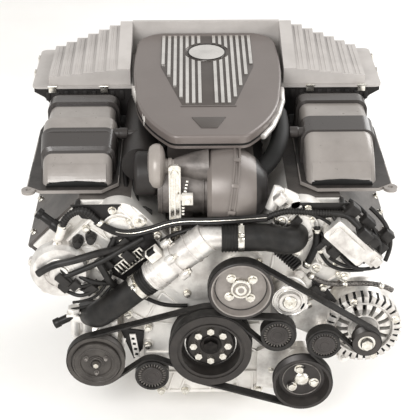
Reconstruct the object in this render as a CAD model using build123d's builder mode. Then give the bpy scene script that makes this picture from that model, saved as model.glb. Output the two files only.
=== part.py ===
from build123d import *
import os
from math import asin, atan2, cos, degrees, radians, sin, sqrt

# Complete 90 degree V8 engine at full size, in millimetres.
# The crankshaft axis is the Y axis and the rear face of the block lies at Y = 0.
# The front of the engine faces -Y, and a distance called forward is measured from Y = 0 to -Y.
# The right bank is at +X and the left bank at -X, as seen from in front of the engine.

os.makedirs("parts", exist_ok=True)

# Cylinders, banks and clearances
BORE = 92.0
STROKE = 82.7
BORE_PITCH = 98.0
PER_BANK = 4
BANK_TILT = 45.0
DECK_UP = 212.0
ROD_LENGTH = 140.0
PIN_TO_CROWN = 30.0
PISTON_HEIGHT = 50.0
PISTON_WALL = 8.0
PISTON_CLEARANCE = 0.04
WRIST_PIN_RADIUS = 11.0
RUNNING_CLEARANCE = 0.03
SKIN_GAP = 0.3
THROW = STROKE / 2
SLANT_SIN = sin(radians(BANK_TILT))
SLANT_COS = cos(radians(BANK_TILT))
SIDES = {"left": -1, "right": 1}

# Crankshaft
MAIN_RADIUS = 32.0
MAIN_WIDTH = 28.0
PIN_RADIUS = 26.0
WEB_THICKNESS = 16.0
COUNTERWEIGHT_RADIUS = 72.0
COUNTERWEIGHT_DROP = 12.0
NOSE_RADIUS = 16.0
REAR_FLANGE_RADIUS = 45.0
REAR_FLANGE_THICKNESS = 12.0
THROW_ANGLES = [90.0, 180.0, 0.0, 270.0]
PIN_WIDTH = BORE_PITCH - MAIN_WIDTH - 2 * WEB_THICKNESS
ROD_WIDTH = PIN_WIDTH / 2 - 0.2
ROD_OFFSET = PIN_WIDTH / 4
BIG_END_WALL = 12.0
SMALL_END_WALL = 6.0

# Block, bedplate and oil pan
BLOCK_LENGTH = 430.0
CASE_HALF = 115.0
CASE_WALL = 23.0
BLOCK_OUT = 66.0
BAY_RADIUS = CASE_HALF - CASE_WALL
BAY_LENGTH = BORE_PITCH - MAIN_WIDTH + 2 * SKIN_GAP
VALLEY_FLOOR = 118.0
BELL_RADIUS = 178.0
BELL_THICKNESS = 16.0
BELL_BOLT_CIRCLE = 330.0
BELL_BOLTS = 8
BELL_HOLE_RADIUS = 6.0
BEDPLATE_DEPTH = 60.0
PAN_BOTTOM = -200.0
PAN_WALL = 4.0
PAN_SHALLOW = -120.0
PAN_SUMP_REAR = 130.0
MOUNT_PAD_FORWARD = 215.0
MOUNT_PAD_UP = 128.0
MOUNT_PAD_RADIUS = 34.0
MOUNT_PAD_OUT = 14.0
MOUNT_BOLT_CIRCLE = 48.0
MOUNT_HOLE_RADIUS = 5.0
BLOCK_MIDDLE = BLOCK_LENGTH / 2

# Heads and camshafts, measured up and out from the bank's bore axis
HEAD_UP = 300.0
HEAD_IN = 92.0
HEAD_OUT = 95.0
HEAD_REAR = 8.0
HEAD_FRONT = 470.0
CAM_UP = 283.0
CAM_OUT = 42.0
CAM_JOURNAL = 13.0
CAM_BASE = 16.0
CAM_LIFT = 9.0
CAM_TOWER = 20.0
CAM_CAVITY_FLOOR = 250.0
CAM_CAVITY_HALF = 76.0
COVER_UP = 369.0
COVER_OUT = 120.0
COVER_SHELF = 277.2
COVER_WALL = 3.5
PORT_RADIUS = 15.0
PORT_UP = 231.0
VALVE_HEAD_RADIUS = 16.0
VALVE_UP = 5.0
VALVE_OUT = 22.0
VALVE_PITCH = 34.0
CHAMBER_DEPTH = 13.0
VALVE_STEM_RADIUS = 3.0

# Chain drive
CRANK_SPROCKET = 19.0
CAM_SPROCKET = 2 * CRANK_SPROCKET
CHAIN_THICKNESS = 4.5
CHAIN_WIDTH = 8.0
CHAIN_ROOM = 1.5
CHAIN_ROOM_REAR = 434.0
CHAIN_PLANES = {"left": 446.0, "right": 462.0}
COVER_FRONT = 500.0
CASE_OUTLINE_WALL = 6.0
CASE_BOTTOM = -150.0
UPPER_COVER_RADIUS = 52.0

# Belt drive, every pulley centre is (x, z) seen from the front
BELT_GAP = 0.3
BELT_THICKNESS = 4.0
MAIN_BELT_PLANE = 562.0
HUB_FACE = MAIN_BELT_PLANE - 11
MAIN_BELT_WIDTH = 20.8
AC_BELT_PLANE = 536.0
AC_BELT_WIDTH = 17.2
RIB_PITCH = 3.56
RIB_DEPTH = 2.0
LIP = 2.0
LIP_WIDTH = 1.6
DAMPER_TRACK = 76.0
WATER_PULLEY = (56.0, 133.0)
WATER_TRACK = 58.0
STEERING_PULLEY = (177.0, -80.0)
STEERING_TRACK = 55.0
ALTERNATOR_AXIS = (296.0, 14.0)
ALTERNATOR_TRACK = 25.0
TENSIONER_AXIS = (149.0, 95.0)
TENSIONER_PULLEY = (126.0, 34.0)
TENSIONER_TRACK = 32.0
GUIDE_PULLEY = (216.0, 11.0)
GUIDE_TRACK = 30.0
AC_AXIS = (-221.0, -42.0)
AC_TRACK = 54.0
AC_IDLER = (-114.0, -75.0)
AC_IDLER_TRACK = 33.0

# Air intake and covers
TRAY_UNDER = 280.0
TRAY_THICKNESS = 6.0
TRAY_IN = 172.0
TRAY_OUT = 344.0
TRAY_FRONT = 458.0
AIRBOX_FRONT = 146.0
AIRBOX_REAR = -58.0
AIRBOX_OUT = 356.0
AIRBOX_LIP = 362.0
AIRBOX_WALL = 4.0
WING_IN = 158.0
DUCT_MIDDLE = 250.0
DUCT_HALF = 66.0
DUCT_WALL = 5.0
LID_END = 326.0
LID_STEPS = 6
LID_LOW = 384.0
LID_INNER = 184.0
PLATE_TILT = 3.6
PLATE_THICKNESS = 4.0
PLATE_SKIRT = 26.0
PLATE_MIDDLE = (0.0, 205.0, 402.0)
DRUM_FORWARD = 440.0
DRUM_UP = 280.0
DRUM_RADIUS = 80.0
DRUM_WALL = 4.0
DRUM_LEFT = -5.0
DRUM_RIGHT = 108.0
THROTTLE_BORE = 40.0
THROTTLE_OUTER = 46.0
THROTTLE_LENGTH = 92.0

throw_forwards = [BLOCK_MIDDLE + (i - 1.5) * BORE_PITCH for i in range(PER_BANK)]
main_forwards = [BLOCK_MIDDLE + (i - 2) * BORE_PITCH for i in range(PER_BANK + 1)]


def front(forward):
    """Plane facing the front of the engine, with local X across and local Y up."""
    return Plane.XZ.offset(forward)


def turned(centre):
    """Plane through a shaft axis, with the local coordinates (radius, forward)."""
    return Plane(origin=(centre[0], 0, centre[1]), x_dir=(1, 0, 0), z_dir=(0, 0, -1))


def shaft_axis(centre):
    return Axis((centre[0], 0, centre[1]), (0, 1, 0))


def bank_xz(side, up, out):
    """Cross-section point at a height up the bore axis and a distance out from it."""
    return (side * (up * SLANT_SIN + out * SLANT_COS), up * SLANT_COS - out * SLANT_SIN)


def bank_plane(side, up, out, forward, facing=1):
    """Plane square to the bore axis of a bank, facing up the bank."""
    x, z = bank_xz(side, up, out)
    normal = (facing * side * SLANT_SIN, 0, facing * SLANT_COS)
    return Plane(origin=(x, -forward, z), x_dir=(0, -1, 0), z_dir=normal)


def bore_forwards(side):
    return [forward + side * ROD_OFFSET for forward in throw_forwards]


def pin_up(side, index):
    """Height of the wrist pin up the bank for the crankshaft's position at rest."""
    swing = radians(THROW_ANGLES[index] - (90 - side * BANK_TILT))
    return THROW * cos(swing) + sqrt(ROD_LENGTH**2 - (THROW * sin(swing)) ** 2)


def pin_xz(index):
    angle = radians(THROW_ANGLES[index])
    return (THROW * cos(angle), THROW * sin(angle))


def turn(centre, points, mode=Mode.ADD):
    """Turn the (radius, forward) outline about a shaft axis, in the part being built."""
    with BuildSketch(turned(centre)) as section:
        Polygon(*points, align=None)
    revolve(section.sketch, axis=shaft_axis(centre), mode=mode)


def bolt_heads(centre, forward, radius, count, size, height, start=0.0):
    """Hexagon bolt heads in a ring on a face that looks forward, in the part being built."""
    with BuildSketch(front(forward)) as heads:
        with Locations(centre):
            with PolarLocations(radius, count, start_angle=start):
                RegularPolygon(size, 6)
    extrude(heads.sketch, amount=height)


def disc(centre, start, end, radius, mode=Mode.ADD):
    """Round disc or hole along the engine between two distances forward, in the part being built."""
    with BuildSketch(front(start)) as outline:
        with Locations(centre):
            Circle(radius)
    extrude(outline.sketch, amount=end - start, mode=mode)


# Engine block with its two cylinder banks
with BuildPart() as engine_block:
    with BuildSketch(front(0)):
        Polygon(
            (-CASE_HALF, 0),
            (CASE_HALF, 0),
            bank_xz(1, CASE_HALF, BLOCK_OUT),
            bank_xz(1, DECK_UP, BLOCK_OUT),
            bank_xz(1, DECK_UP, -BLOCK_OUT),
            (VALLEY_FLOOR - 2 * BLOCK_OUT * SLANT_SIN, VALLEY_FLOOR),
            (2 * BLOCK_OUT * SLANT_SIN - VALLEY_FLOOR, VALLEY_FLOOR),
            bank_xz(-1, DECK_UP, -BLOCK_OUT),
            bank_xz(-1, DECK_UP, BLOCK_OUT),
            bank_xz(-1, CASE_HALF, BLOCK_OUT),
            align=None,
        )
    extrude(amount=BLOCK_LENGTH)
    with BuildSketch(front(0)):
        Circle(BELL_RADIUS)
    extrude(amount=BELL_THICKNESS)
    for side in SIDES.values():
        x, z = bank_xz(side, MOUNT_PAD_UP, BLOCK_OUT + MOUNT_PAD_OUT)
        outward = (side * SLANT_COS, 0, -SLANT_SIN)
        pad_plane = Plane(origin=(x, -MOUNT_PAD_FORWARD, z), x_dir=(0, -1, 0), z_dir=outward)
        with BuildSketch(pad_plane):
            Circle(MOUNT_PAD_RADIUS)
        extrude(amount=-MOUNT_PAD_OUT - 6)
        with BuildSketch(pad_plane):
            with PolarLocations(MOUNT_BOLT_CIRCLE / 2, 3):
                Circle(MOUNT_HOLE_RADIUS)
        extrude(amount=-18, mode=Mode.SUBTRACT)
        for forward in bore_forwards(side):
            with BuildSketch(bank_plane(side, DECK_UP, 0, forward)):
                Circle(BORE / 2)
            extrude(amount=-(DECK_UP - BAY_RADIUS + 20), mode=Mode.SUBTRACT)
    for forward in throw_forwards:
        with BuildSketch(front(forward - BAY_LENGTH / 2)):
            Circle(BAY_RADIUS)
        extrude(amount=BAY_LENGTH, mode=Mode.SUBTRACT)
    with BuildSketch(front(-1)):
        Circle(MAIN_RADIUS + RUNNING_CLEARANCE)
    extrude(amount=BLOCK_LENGTH + 2, mode=Mode.SUBTRACT)
    with BuildSketch(front(0)):
        Circle(REAR_FLANGE_RADIUS + SKIN_GAP)
    extrude(amount=REAR_FLANGE_THICKNESS / 2 + SKIN_GAP, mode=Mode.SUBTRACT)
    with BuildSketch(front(0)):
        with PolarLocations(BELL_BOLT_CIRCLE / 2, BELL_BOLTS, start_angle=22.5):
            Circle(BELL_HOLE_RADIUS)
    extrude(amount=BELL_THICKNESS, mode=Mode.SUBTRACT)
engine_block.part.label = "engine_block"
export_step(engine_block.part, "parts/engine_block.step")

# Bedplate that joins the five main bearing caps
with BuildPart() as bedplate:
    with BuildSketch(front(BELL_THICKNESS)):
        Polygon(
            (-CASE_HALF, 0),
            (-CASE_HALF, -BEDPLATE_DEPTH),
            (CASE_HALF, -BEDPLATE_DEPTH),
            (CASE_HALF, 0),
            align=None,
        )
    extrude(amount=BLOCK_LENGTH - BELL_THICKNESS)
    for forward in throw_forwards:
        with BuildSketch(front(forward - BAY_LENGTH / 2)):
            Circle(BAY_RADIUS)
        extrude(amount=BAY_LENGTH, mode=Mode.SUBTRACT)
    with BuildSketch(front(0)):
        Circle(MAIN_RADIUS + RUNNING_CLEARANCE)
    extrude(amount=BLOCK_LENGTH + 1, mode=Mode.SUBTRACT)
bedplate.part.label = "bedplate"
export_step(bedplate.part, "parts/bedplate.step")

# Oil pan with a deep sump at the front
pan_profile = [
    (-BELL_THICKNESS, -BEDPLATE_DEPTH),
    (-BLOCK_LENGTH + 2, -BEDPLATE_DEPTH),
    (-BLOCK_LENGTH + 2, CASE_BOTTOM),
    (-BLOCK_LENGTH + 14, PAN_BOTTOM),
    (-PAN_SUMP_REAR, PAN_BOTTOM),
    (-PAN_SUMP_REAR + 50, PAN_SHALLOW),
    (-BELL_THICKNESS, PAN_SHALLOW),
]
with BuildPart() as oil_pan:
    with BuildSketch(Plane.YZ.offset(-CASE_HALF)):
        Polygon(*pan_profile, align=None)
    extrude(amount=2 * CASE_HALF)
    fillet(oil_pan.edges().filter_by(Axis.X).group_by(Axis.Z)[0], 10)
    fillet(oil_pan.faces().sort_by(Axis.Z)[0].edges().filter_by(Axis.Y), 12)
    offset(amount=-PAN_WALL, openings=oil_pan.faces().sort_by(Axis.Z)[-1], kind=Kind.INTERSECTION)
    with BuildSketch(Plane.XY.offset(-BEDPLATE_DEPTH)):
        with Locations((0, -(BLOCK_LENGTH + BELL_THICKNESS) / 2 + 1)):
            Rectangle(2 * CASE_HALF + 14, BLOCK_LENGTH - BELL_THICKNESS - 2)
            Rectangle(2 * CASE_HALF - 30, BLOCK_LENGTH - BELL_THICKNESS - 32, mode=Mode.SUBTRACT)
    extrude(amount=-8)
oil_pan.part.label = "oil_pan"
export_step(oil_pan.part, "parts/oil_pan.step")

# Crankshaft with four throws at right angles
with BuildPart() as crankshaft:
    for forward in main_forwards:
        with BuildSketch(front(forward - MAIN_WIDTH / 2)):
            Circle(MAIN_RADIUS)
        extrude(amount=MAIN_WIDTH)
    for index, forward in enumerate(throw_forwards):
        pin = pin_xz(index)
        cut_size = 2 * COUNTERWEIGHT_RADIUS
        cut_share = (COUNTERWEIGHT_RADIUS - COUNTERWEIGHT_DROP) / THROW
        cut_centre = (pin[0] * cut_share, pin[1] * cut_share)
        with BuildSketch(front(forward - PIN_WIDTH / 2)):
            with Locations(pin):
                Circle(PIN_RADIUS)
        extrude(amount=PIN_WIDTH)
        for web_start in (forward - PIN_WIDTH / 2 - WEB_THICKNESS, forward + PIN_WIDTH / 2):
            with BuildSketch(front(web_start)):
                Circle(MAIN_RADIUS + 4)
                with Locations(pin):
                    Circle(PIN_RADIUS + 4)
                make_hull()
            extrude(amount=WEB_THICKNESS)
            with BuildSketch(front(web_start)):
                Circle(COUNTERWEIGHT_RADIUS)
                with Locations(cut_centre):
                    Rectangle(cut_size, cut_size, rotation=THROW_ANGLES[index], mode=Mode.SUBTRACT)
            extrude(amount=WEB_THICKNESS)
    with BuildSketch(front(-REAR_FLANGE_THICKNESS)):
        Circle(REAR_FLANGE_RADIUS)
    extrude(amount=1.5 * REAR_FLANGE_THICKNESS)
    with BuildSketch(front(BLOCK_LENGTH - 5)):
        Circle(NOSE_RADIUS)
    extrude(amount=HUB_FACE - BLOCK_LENGTH + 5)
    for plane_forward in CHAIN_PLANES.values():
        with BuildSketch(front(plane_forward - CHAIN_WIDTH / 2 + 1)):
            Circle(CRANK_SPROCKET)
        extrude(amount=CHAIN_WIDTH - 2)
crankshaft.part.label = "crankshaft"
export_step(crankshaft.part, "parts/crankshaft.step")

# Flywheel with its starter ring
FLYWHEEL_RADIUS = 148.0
FLYWHEEL_THICKNESS = 26.0
FLYWHEEL_BOLT_CIRCLE = 70.0
CLUTCH_BOLT_CIRCLE = 250.0
with BuildPart() as flywheel:
    with BuildSketch(front(-REAR_FLANGE_THICKNESS - FLYWHEEL_THICKNESS)):
        Circle(FLYWHEEL_RADIUS - 8)
        Circle(20, mode=Mode.SUBTRACT)
        with PolarLocations(CLUTCH_BOLT_CIRCLE / 2, 6):
            Circle(4.25, mode=Mode.SUBTRACT)
    extrude(amount=FLYWHEEL_THICKNESS)
    with BuildSketch(front(-REAR_FLANGE_THICKNESS - 12)):
        Circle(FLYWHEEL_RADIUS)
        Circle(FLYWHEEL_RADIUS - 10, mode=Mode.SUBTRACT)
        with PolarLocations(FLYWHEEL_RADIUS, 110):
            Rectangle(6, 3.6, mode=Mode.SUBTRACT)
    extrude(amount=10)
    with BuildSketch(front(-REAR_FLANGE_THICKNESS - FLYWHEEL_THICKNESS - 6)):
        with PolarLocations(FLYWHEEL_BOLT_CIRCLE / 2, 8):
            RegularPolygon(9, 6)
    extrude(amount=6)
flywheel.part.label = "flywheel"
export_step(flywheel.part, "parts/flywheel.step")

# Pistons with their wrist pins, one node for each cylinder
piston_number = 0
for side in SIDES.values():
    for index, forward in enumerate(bore_forwards(side)):
        piston_number += 1
        crown = pin_up(side, index) + PIN_TO_CROWN
        with BuildPart() as piston:
            with BuildSketch(bank_plane(side, crown, 0, forward)):
                Circle(BORE / 2 - PISTON_CLEARANCE)
            extrude(amount=-PISTON_HEIGHT)
            with BuildSketch(bank_plane(side, crown - PISTON_HEIGHT, 0, forward)):
                Circle(BORE / 2 - PISTON_WALL)
            extrude(amount=PISTON_HEIGHT - PISTON_WALL, mode=Mode.SUBTRACT)
            for ring in range(3):
                with BuildSketch(bank_plane(side, crown - 6 - 5 * ring, 0, forward)):
                    Circle(BORE / 2)
                    Circle(BORE / 2 - 1.5, mode=Mode.SUBTRACT)
                extrude(amount=-1.5, mode=Mode.SUBTRACT)
            x, z = bank_xz(side, crown - PIN_TO_CROWN, 0)
            with BuildSketch(Plane.XZ.offset(forward - BORE / 2)):
                with Locations((x, z)):
                    Circle(WRIST_PIN_RADIUS + RUNNING_CLEARANCE)
            extrude(amount=BORE, mode=Mode.SUBTRACT)
        with BuildPart() as wrist_pin:
            with BuildSketch(Plane.XZ.offset(forward - BORE / 2 + 4)):
                with Locations((x, z)):
                    Circle(WRIST_PIN_RADIUS)
                    Circle(WRIST_PIN_RADIUS - 5, mode=Mode.SUBTRACT)
            extrude(amount=BORE - 8)
        with BuildPart() as piston_set:
            add(piston.part)
            add(wrist_pin.part)
        piston_set.part.label = f"piston_{piston_number}"
        export_step(piston_set.part, f"parts/piston_{piston_number}.step")

# Connecting rods, two side by side on each crank pin
with BuildPart() as connecting_rods:
    for side in SIDES.values():
        for index, forward in enumerate(bore_forwards(side)):
            pin = pin_xz(index)
            small = bank_xz(side, pin_up(side, index), 0)
            with BuildSketch(front(forward - ROD_WIDTH / 2)):
                with Locations(pin):
                    Circle(PIN_RADIUS + BIG_END_WALL)
                with Locations(small):
                    Circle(WRIST_PIN_RADIUS + SMALL_END_WALL)
            extrude(amount=ROD_WIDTH)
            with BuildSketch(front(forward - 4)):
                with Locations(pin):
                    Circle(PIN_RADIUS - 8)
                with Locations(small):
                    Circle(WRIST_PIN_RADIUS - 1)
                make_hull()
            extrude(amount=8)
            with BuildSketch(front(forward - ROD_WIDTH / 2 - 1)):
                with Locations(pin):
                    Circle(PIN_RADIUS + RUNNING_CLEARANCE)
                with Locations(small):
                    Circle(WRIST_PIN_RADIUS + RUNNING_CLEARANCE)
            extrude(amount=ROD_WIDTH + 2, mode=Mode.SUBTRACT)
connecting_rods.part.label = "connecting_rods"
export_step(connecting_rods.part, "parts/connecting_rods.step")


def hull_of(circles, plane):
    """Convex outline round circles given as (x, z, radius)."""
    with BuildSketch(plane) as outline:
        for x, z, radius in circles:
            with Locations((x, z)):
                Circle(radius)
        make_hull()
    return outline.sketch


def chain_circles(side, extra):
    intake = bank_xz(side, CAM_UP, -CAM_OUT)
    exhaust = bank_xz(side, CAM_UP, CAM_OUT)
    return [
        (0, 0, CRANK_SPROCKET + extra),
        (*intake, CAM_SPROCKET + extra),
        (*exhaust, CAM_SPROCKET + extra),
    ]


def valve_line(side, sign, forward):
    """Foot plane of a valve on the line from the chamber to the camshaft axis."""
    foot = bank_xz(side, DECK_UP + VALVE_UP, sign * VALVE_OUT)
    top = bank_xz(side, CAM_UP, sign * CAM_OUT)
    reach = sqrt((top[0] - foot[0]) ** 2 + (top[1] - foot[1]) ** 2)
    normal = ((top[0] - foot[0]) / reach, 0, (top[1] - foot[1]) / reach)
    plane = Plane(origin=(foot[0], -forward, foot[1]), x_dir=(0, -1, 0), z_dir=normal)
    return plane, reach


# Cylinder heads
for name, side in SIDES.items():
    with BuildPart() as cylinder_head:
        with BuildSketch(front(HEAD_REAR)):
            Polygon(
                bank_xz(side, DECK_UP, -HEAD_IN),
                bank_xz(side, DECK_UP, HEAD_OUT),
                bank_xz(side, HEAD_UP, HEAD_OUT),
                bank_xz(side, HEAD_UP, -HEAD_IN),
                align=None,
            )
        extrude(amount=HEAD_FRONT - HEAD_REAR)
        cavity_starts = [f + CAM_TOWER / 2 for f in main_forwards[:-1]]
        for start in cavity_starts:
            with BuildSketch(front(start)):
                Polygon(
                    bank_xz(side, CAM_CAVITY_FLOOR, -CAM_CAVITY_HALF),
                    bank_xz(side, CAM_CAVITY_FLOOR, CAM_CAVITY_HALF),
                    bank_xz(side, HEAD_UP + 1, CAM_CAVITY_HALF),
                    bank_xz(side, HEAD_UP + 1, -CAM_CAVITY_HALF),
                    align=None,
                )
            extrude(amount=BORE_PITCH - CAM_TOWER, mode=Mode.SUBTRACT)
        chain_room = hull_of(chain_circles(side, CHAIN_THICKNESS + CHAIN_ROOM), front(CHAIN_ROOM_REAR))
        extrude(chain_room, amount=HEAD_FRONT - CHAIN_ROOM_REAR + 4, mode=Mode.SUBTRACT)
        for sign in (-1, 1):
            with BuildSketch(front(main_forwards[0] - CAM_TOWER / 2 + 4)):
                with Locations(bank_xz(side, CAM_UP, sign * CAM_OUT)):
                    Circle(CAM_JOURNAL + RUNNING_CLEARANCE)
            extrude(amount=BLOCK_LENGTH, mode=Mode.SUBTRACT)
        for forward in bore_forwards(side):
            with BuildSketch(bank_plane(side, DECK_UP, 0, forward)):
                Circle(BORE / 2 - 1)
            extrude(amount=CHAMBER_DEPTH, mode=Mode.SUBTRACT)
            for sign, wall in ((-1, HEAD_IN), (1, HEAD_OUT)):
                x, z = bank_xz(side, PORT_UP, sign * wall)
                normal = (sign * side * SLANT_COS, 0, -sign * SLANT_SIN)
                with BuildSketch(Plane(origin=(x, -forward, z), x_dir=(0, -1, 0), z_dir=normal)):
                    Circle(PORT_RADIUS)
                extrude(amount=-wall + 30, mode=Mode.SUBTRACT)
                for step in (-VALVE_PITCH / 2, VALVE_PITCH / 2):
                    plane, reach = valve_line(side, sign, forward + step)
                    with BuildSketch(plane):
                        Circle(VALVE_STEM_RADIUS + RUNNING_CLEARANCE)
                    extrude(amount=reach - 30, mode=Mode.SUBTRACT)
    cylinder_head.part.label = f"cylinder_head_{name}"
    export_step(cylinder_head.part, f"parts/cylinder_head_{name}.step")

# Valves with their springs and buckets
with BuildPart() as valves:
    for side in SIDES.values():
        for forward in bore_forwards(side):
            for sign in (-1, 1):
                for step in (-VALVE_PITCH / 2, VALVE_PITCH / 2):
                    plane, reach = valve_line(side, sign, forward + step)
                    with BuildSketch(plane):
                        Circle(VALVE_HEAD_RADIUS)
                    extrude(amount=2.5)
                    with BuildSketch(plane):
                        Circle(VALVE_STEM_RADIUS)
                    extrude(amount=reach - CAM_BASE - 2)
                    with BuildSketch(plane.offset(reach - CAM_BASE - 13)):
                        Circle(12)
                    extrude(amount=12)
valves.part.label = "valves"
export_step(valves.part, "parts/valves.step")

# Camshafts, each with a chain wheel at its front end
LOBE_TURNS = [67.5, 157.5, 202.5, 292.5]
for name, side in SIDES.items():
    for kind, sign in (("intake", -1), ("exhaust", 1)):
        axis_point = bank_xz(side, CAM_UP, sign * CAM_OUT)
        valve_foot = bank_xz(side, DECK_UP + VALVE_UP, sign * VALVE_OUT)
        toward_valve = atan2(valve_foot[1] - axis_point[1], valve_foot[0] - axis_point[0])
        with BuildPart() as camshaft:
            with BuildSketch(front(main_forwards[0] - CAM_TOWER / 2 + 5)):
                with Locations(axis_point):
                    Circle(CAM_JOURNAL)
            extrude(amount=CHAIN_PLANES[name] - main_forwards[0] + CAM_TOWER / 2)
            for index, forward in enumerate(bore_forwards(side)):
                for step in (-VALVE_PITCH / 2, VALVE_PITCH / 2):
                    angle = toward_valve + radians(LOBE_TURNS[index])
                    nose_radius = 7
                    nose_reach = CAM_BASE + CAM_LIFT - nose_radius
                    nose = (axis_point[0] + nose_reach * cos(angle), axis_point[1] + nose_reach * sin(angle))
                    with BuildSketch(front(forward + step - 6)):
                        with Locations(axis_point):
                            Circle(CAM_BASE)
                        with Locations(nose):
                            Circle(nose_radius)
                        make_hull()
                    extrude(amount=12)
            with BuildSketch(front(CHAIN_PLANES[name] - CHAIN_WIDTH / 2 + 1)):
                with Locations(axis_point):
                    Circle(CAM_SPROCKET)
            extrude(amount=CHAIN_WIDTH - 2)
        camshaft.part.label = f"{kind}_camshaft_{name}"
        export_step(camshaft.part, f"parts/{kind}_camshaft_{name}.step")

# Timing chains, one loop round the crankshaft wheel and the two cam wheels of each bank
with BuildPart() as timing_chains:
    for name, side in SIDES.items():
        plane = front(CHAIN_PLANES[name] - CHAIN_WIDTH / 2)
        extrude(hull_of(chain_circles(side, SKIN_GAP + CHAIN_THICKNESS), plane), amount=CHAIN_WIDTH)
        extrude(hull_of(chain_circles(side, SKIN_GAP), plane), amount=CHAIN_WIDTH, mode=Mode.SUBTRACT)
timing_chains.part.label = "timing_chains"
export_step(timing_chains.part, "parts/timing_chains.step")

# Head covers
for name, side in SIDES.items():
    shelf_x = COVER_UP / SLANT_SIN - COVER_SHELF
    with BuildPart() as head_cover:
        with BuildSketch(front(HEAD_REAR + 10)):
            Polygon(
                bank_xz(side, HEAD_UP, -HEAD_IN),
                (side * shelf_x, COVER_SHELF),
                bank_xz(side, COVER_UP, COVER_OUT),
                bank_xz(side, HEAD_UP, COVER_OUT),
                align=None,
            )
        extrude(amount=HEAD_FRONT - HEAD_REAR - 10)
        inner_axis = Axis((0, 0, 0), (side * SLANT_SIN, 0, SLANT_COS))
        offset(amount=-COVER_WALL, openings=head_cover.faces().sort_by(inner_axis)[0], kind=Kind.INTERSECTION)
    head_cover.part.label = f"head_cover_{name}"
    export_step(head_cover.part, f"parts/head_cover_{name}.step")

# Lower timing case
case_outline = [
    (-130, -BEDPLATE_DEPTH),
    (-150, -100),
    (-90, CASE_BOTTOM),
    (90, CASE_BOTTOM),
    (118, -110),
    (130, -BEDPLATE_DEPTH),
    (130, 17),
    bank_xz(1, DECK_UP, HEAD_OUT),
    bank_xz(1, DECK_UP, -HEAD_IN),
    (40, 153),
    (-40, 153),
    bank_xz(-1, DECK_UP, -HEAD_IN),
    bank_xz(-1, DECK_UP, HEAD_OUT),
    (-130, 17),
]
with BuildPart() as timing_case:
    with BuildSketch(front(BLOCK_LENGTH)):
        Polygon(*case_outline, align=None)
    extrude(amount=COVER_FRONT - BLOCK_LENGTH)
    with BuildSketch(front(BLOCK_LENGTH)):
        Polygon(*case_outline, align=None)
        offset(amount=-CASE_OUTLINE_WALL, kind=Kind.INTERSECTION)
    extrude(amount=COVER_FRONT - BLOCK_LENGTH - CASE_OUTLINE_WALL, mode=Mode.SUBTRACT)
    for side in SIDES.values():
        chain_room = hull_of(chain_circles(side, CHAIN_THICKNESS + CHAIN_ROOM), front(BLOCK_LENGTH))
        extrude(chain_room, amount=COVER_FRONT - BLOCK_LENGTH - CASE_OUTLINE_WALL, mode=Mode.SUBTRACT)
    with BuildSketch(front(BLOCK_LENGTH)):
        Circle(NOSE_RADIUS + SKIN_GAP)
    extrude(amount=COVER_FRONT - BLOCK_LENGTH, mode=Mode.SUBTRACT)
    with BuildSketch(front(COVER_FRONT)):
        Circle(38)
        Circle(NOSE_RADIUS + SKIN_GAP, mode=Mode.SUBTRACT)
    extrude(amount=8)
    with BuildSketch(front(COVER_FRONT)):
        with Locations(AC_IDLER):
            Circle(15)
    extrude(amount=AC_BELT_PLANE - 12 - COVER_FRONT)
    with BuildSketch(front(COVER_FRONT)):
        with Locations(AC_IDLER):
            Circle(6)
    extrude(amount=AC_BELT_PLANE + 8 - COVER_FRONT)
timing_case.part.label = "timing_case"
export_step(timing_case.part, "parts/timing_case.step")

# Upper timing covers in front of the heads
for name, side in SIDES.items():
    intake = bank_xz(side, CAM_UP, -CAM_OUT)
    exhaust = bank_xz(side, CAM_UP, CAM_OUT)
    with BuildPart() as upper_cover:
        with BuildSketch(front(HEAD_FRONT)):
            for centre in (intake, exhaust):
                with Locations(centre):
                    Circle(UPPER_COVER_RADIUS)
            Polygon(
                bank_xz(side, DECK_UP, -HEAD_IN),
                bank_xz(side, DECK_UP, HEAD_OUT),
                bank_xz(side, CAM_UP, HEAD_OUT),
                bank_xz(side, CAM_UP, -HEAD_IN),
                align=None,
            )
            make_hull()
            with Locations(bank_xz(side, DECK_UP - 100, 0)):
                Rectangle(200, 400, rotation=90 - side * BANK_TILT, mode=Mode.SUBTRACT)
        extrude(amount=COVER_FRONT - HEAD_FRONT)
        room = hull_of(chain_circles(side, CHAIN_THICKNESS + CHAIN_ROOM)[1:], front(HEAD_FRONT))
        extrude(room, amount=COVER_FRONT - HEAD_FRONT - CASE_OUTLINE_WALL, mode=Mode.SUBTRACT)
        with BuildSketch(front(COVER_FRONT)):
            for centre in (intake, exhaust):
                with Locations(centre):
                    Circle(24)
        extrude(amount=4)
        with BuildSketch(front(COVER_FRONT)):
            for up, out in ((222, -82), (222, 84), (262, -84), (318, -62), (326, 0), (318, 62), (262, 86)):
                with Locations(bank_xz(side, up, out)):
                    Circle(7)
        extrude(amount=3)
    upper_cover.part.label = f"upper_timing_cover_{name}"
    export_step(upper_cover.part, f"parts/upper_timing_cover_{name}.step")

# Pulleys of the belt drive
MAIN_RIBS = 6
AC_RIBS = 5
WHEEL_WIDTH = 24.0
IDLER_PIN = 6.0


def ribbed_track(track, middle, ribs):
    """Outline points of a grooved belt track between two lips, from back to front."""
    half = ribs * RIB_PITCH / 2
    points = [(track + LIP, middle - half - LIP_WIDTH), (track + LIP, middle - half)]
    for rib in range(ribs):
        start = middle - half + rib * RIB_PITCH
        points += [(track, start), (track - RIB_DEPTH, start + RIB_PITCH / 2)]
    points += [(track, middle + half), (track + LIP, middle + half)]
    points += [(track + LIP, middle + half + LIP_WIDTH)]
    return points


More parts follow.
